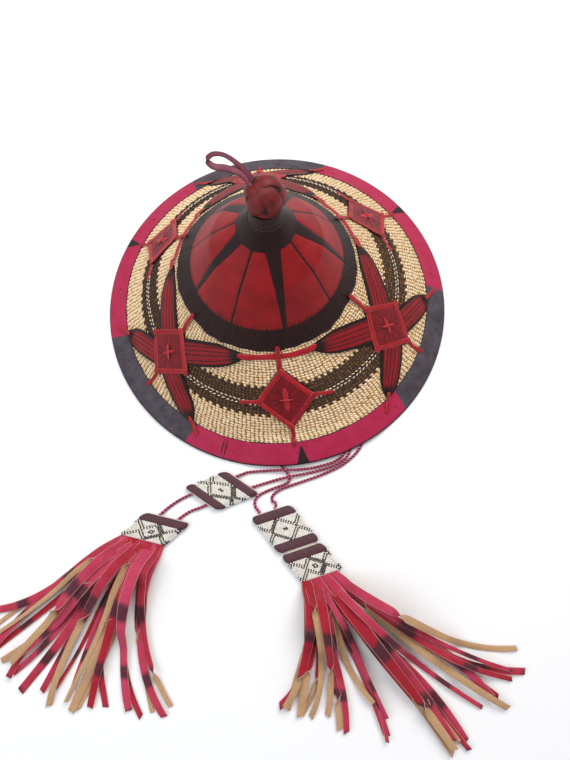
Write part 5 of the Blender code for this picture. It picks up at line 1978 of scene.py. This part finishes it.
@dataclass
class TiesAndTassels:
    """Both chin ties with their sliders, beaded heads and fringes."""

    slider_length: float = 0.054
    head_length: float = 0.038
    head_width: float = 0.045
    right_start: tuple[float, float] = (-0.024, -0.2645)
    right_heading: float = 305.9
    left_locks: Route = (
        (208.0, 0.19, -0.8), (219.0, 0.196, -0.52), (230.0, 0.204, -0.24), (240.0, 0.2, 0.04),
        (250.0, 0.192, 0.3), (262.0, 0.19, 0.56), (290.0, 0.188, 0.82),
    )
    right_locks: Route = (
        (236.0, 0.15, -0.86), (280.0, 0.16, -0.62), (297.0, 0.214, -0.38), (308.0, 0.222, -0.14),
        (318.0, 0.226, 0.12), (328.0, 0.23, 0.36), (337.0, 0.232, 0.6), (346.0, 0.224, 0.84),
    )

    def in_right(self, across: float, *steps: float) -> Route:
        """Place points along the right slider, in millimetres, across it and at steps along it."""
        points = np.array([(across, along, 0.0032) for along in steps])
        return tuple(map(tuple, (floor_place(self.right_start, self.right_heading, points) / MM).tolist()))

    def build(self) -> None:
        """Build the sliders and heads, then the strands through them and the fringes."""
        head_start = tuple(value * MM for value in self.in_right(0.0, self.slider_length + 0.0003)[0][:2])
        # Name, start, heading, length, width, rolled ends, node and skew
        left_slider, right_slider, left_head, right_head = sleeves = [
            BeadedSleeve(*values) for values in (
                ("left_slider", (-0.053, -0.23), 197.4, self.slider_length, 0.04, Ends.BOTH,
                 "slider_left", 0.7),
                ("right_slider", self.right_start, self.right_heading, self.slider_length, 0.045, Ends.BOTH,
                 "slider_right", -0.4),
                ("left_head", (-0.141, -0.264), 217.6, self.head_length, self.head_width, Ends.FIRST,
                 "tassel_left", 0.7),
                ("right_head", head_start, self.right_heading, self.head_length, self.head_width, Ends.FIRST,
                 "tassel_right", -0.4),
            )
        ]
        pieces = {sleeve.name: sleeve.build() for sleeve in sleeves}
        left_pieces = pieces[left_slider.name] + pieces[left_head.name]
        right_pieces = pieces[right_slider.name] + pieces[right_head.name]
        inside = [self.in_right(across, 0.012, 0.03, 0.05, 0.06) for across in (0.008, -0.008)]
        for name, routes, nodes, with_pieces in (
            ("right_tie_one", (RIGHT_TIE_ONE_ROUTE, HEAD_CORD_ONE_ROUTE), ("right_tie_1", "head_cord_1"),
             left_pieces),
            ("right_tie_two", (RIGHT_TIE_TWO_ROUTE, HEAD_CORD_TWO_ROUTE), ("right_tie_2", "head_cord_2"),
             left_pieces),
            ("left_tie_one", (LEFT_TIE_ONE_ROUTE, inside[0]), ("left_tie_1",), right_pieces),
            ("left_tie_two", (LEFT_TIE_TWO_ROUTE, inside[1]), ("left_tie_2",), right_pieces),
        ):
            ChinTie(name, routes, nodes).build(with_pieces)
        for side in ("left", "right"):
            dress(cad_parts[f"tie_tab_{side}"], DARK_THONG.build())
        Tassel("left_fringe", left_head, "tassel_left", self.left_locks, 26, 11, 0.01, 0.4).build()
        Tassel("right_fringe", right_head, "tassel_right", self.right_locks, 28, 23, 0.026, 0.55).build()


@dataclass
class Studio:
    """The pale floor, the soft light and the camera."""

    camera_place: Point = (0.00388211, -0.31531352, 0.67541137)
    camera_right: Point = (0.9975, -0.068, -0.0209)
    camera_up: Point = (0.0711, 0.9536, 0.2927)
    camera_back: Point = (0.0, -0.2935, 0.956)
    lens: float = 27.05
    floor_size: float = 8.0
    room_light: float = 0.42

    def build_floor(self) -> None:
        """Build the floor."""
        deselect_all()
        bpy.ops.mesh.primitive_plane_add(size=self.floor_size, location=(0.0, 0.0, -0.0002))
        bpy.ops.object.transform_apply(location=True, rotation=True, scale=True)
        floor = bpy.context.active_object
        floor.name = "studio_floor"
        floor.data.materials.append(FloorPaper().build())

    def add_area(self, name: str, place: Point, size: float, power: float, tint: str) -> None:
        """Add one soft light that points at the hat.

        Args:
            name: The light's name.
            place: Where it stands.
            size: Its width.
            power: Its power in watts.
            tint: Its colour.
        """
        data = bpy.data.lights.new(name, "AREA")
        data.shape = "DISK"
        data.size = size
        data.energy = power
        data.color = linear(tint)[:3]
        lamp = bpy.data.objects.new(name, data)
        bpy.context.scene.collection.objects.link(lamp)
        lamp.location = place
        aim = Vector((0.0, -0.1, 0.05)) - Vector(place)
        lamp.rotation_euler = aim.to_track_quat("-Z", "Y").to_euler()

    def build_world(self) -> None:
        """Set the even light that fills the room."""
        world = bpy.data.worlds.new("studio_world")
        world.use_nodes = True
        background = world.node_tree.nodes["Background"]
        background.inputs["Color"].default_value = linear("F2F5FA")
        background.inputs["Strength"].default_value = self.room_light
        bpy.context.scene.world = world

    def build_camera(self) -> None:
        """Set the camera at the photograph's angle."""
        data = bpy.data.cameras.new("photo_camera")
        data.lens = self.lens
        data.sensor_width = 36.0
        data.sensor_fit = "AUTO"
        data.clip_start = 0.01
        camera = bpy.data.objects.new("photo_camera", data)
        bpy.context.scene.collection.objects.link(camera)
        turn = Matrix((self.camera_right, self.camera_up, self.camera_back)).transposed()
        camera.matrix_world = Matrix.Translation(self.camera_place) @ turn.to_4x4()
        bpy.context.scene.camera = camera

    def build(self) -> None:
        """Build the floor, the lights and the camera."""
        bpy.context.scene.view_settings.view_transform = "Standard"
        self.build_floor()
        self.build_world()
        self.add_area("key_light", (0.55, 0.65, 1.5), 1.3, 23.0, "FFFAF4")
        self.add_area("fill_light", (-1.0, -0.3, 1.4), 1.6, 13.0, "F4F8FF")
        self.build_camera()


def main() -> None:
    """Build the scene, piece by piece."""
    logging.basicConfig(level=logging.INFO, format="%(name)s: %(message)s")
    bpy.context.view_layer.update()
    Studio().build()
    TiesAndTassels().build()
    StrawWeave().build()
    CrownCover().build()
    RimBand().build()
    TopKnot().build()
    azimuths = (-87.0, -27.0, 33.0, 93.0, 153.0, 213.0)
    for number, azimuth in enumerate(azimuths, start=1):
        kind = PatchKind.STAR if number % 2 == 0 else PatchKind.DIAMOND
        LeatherPatch(number, azimuth, kind).build()


if __name__ == "__main__":
    main()
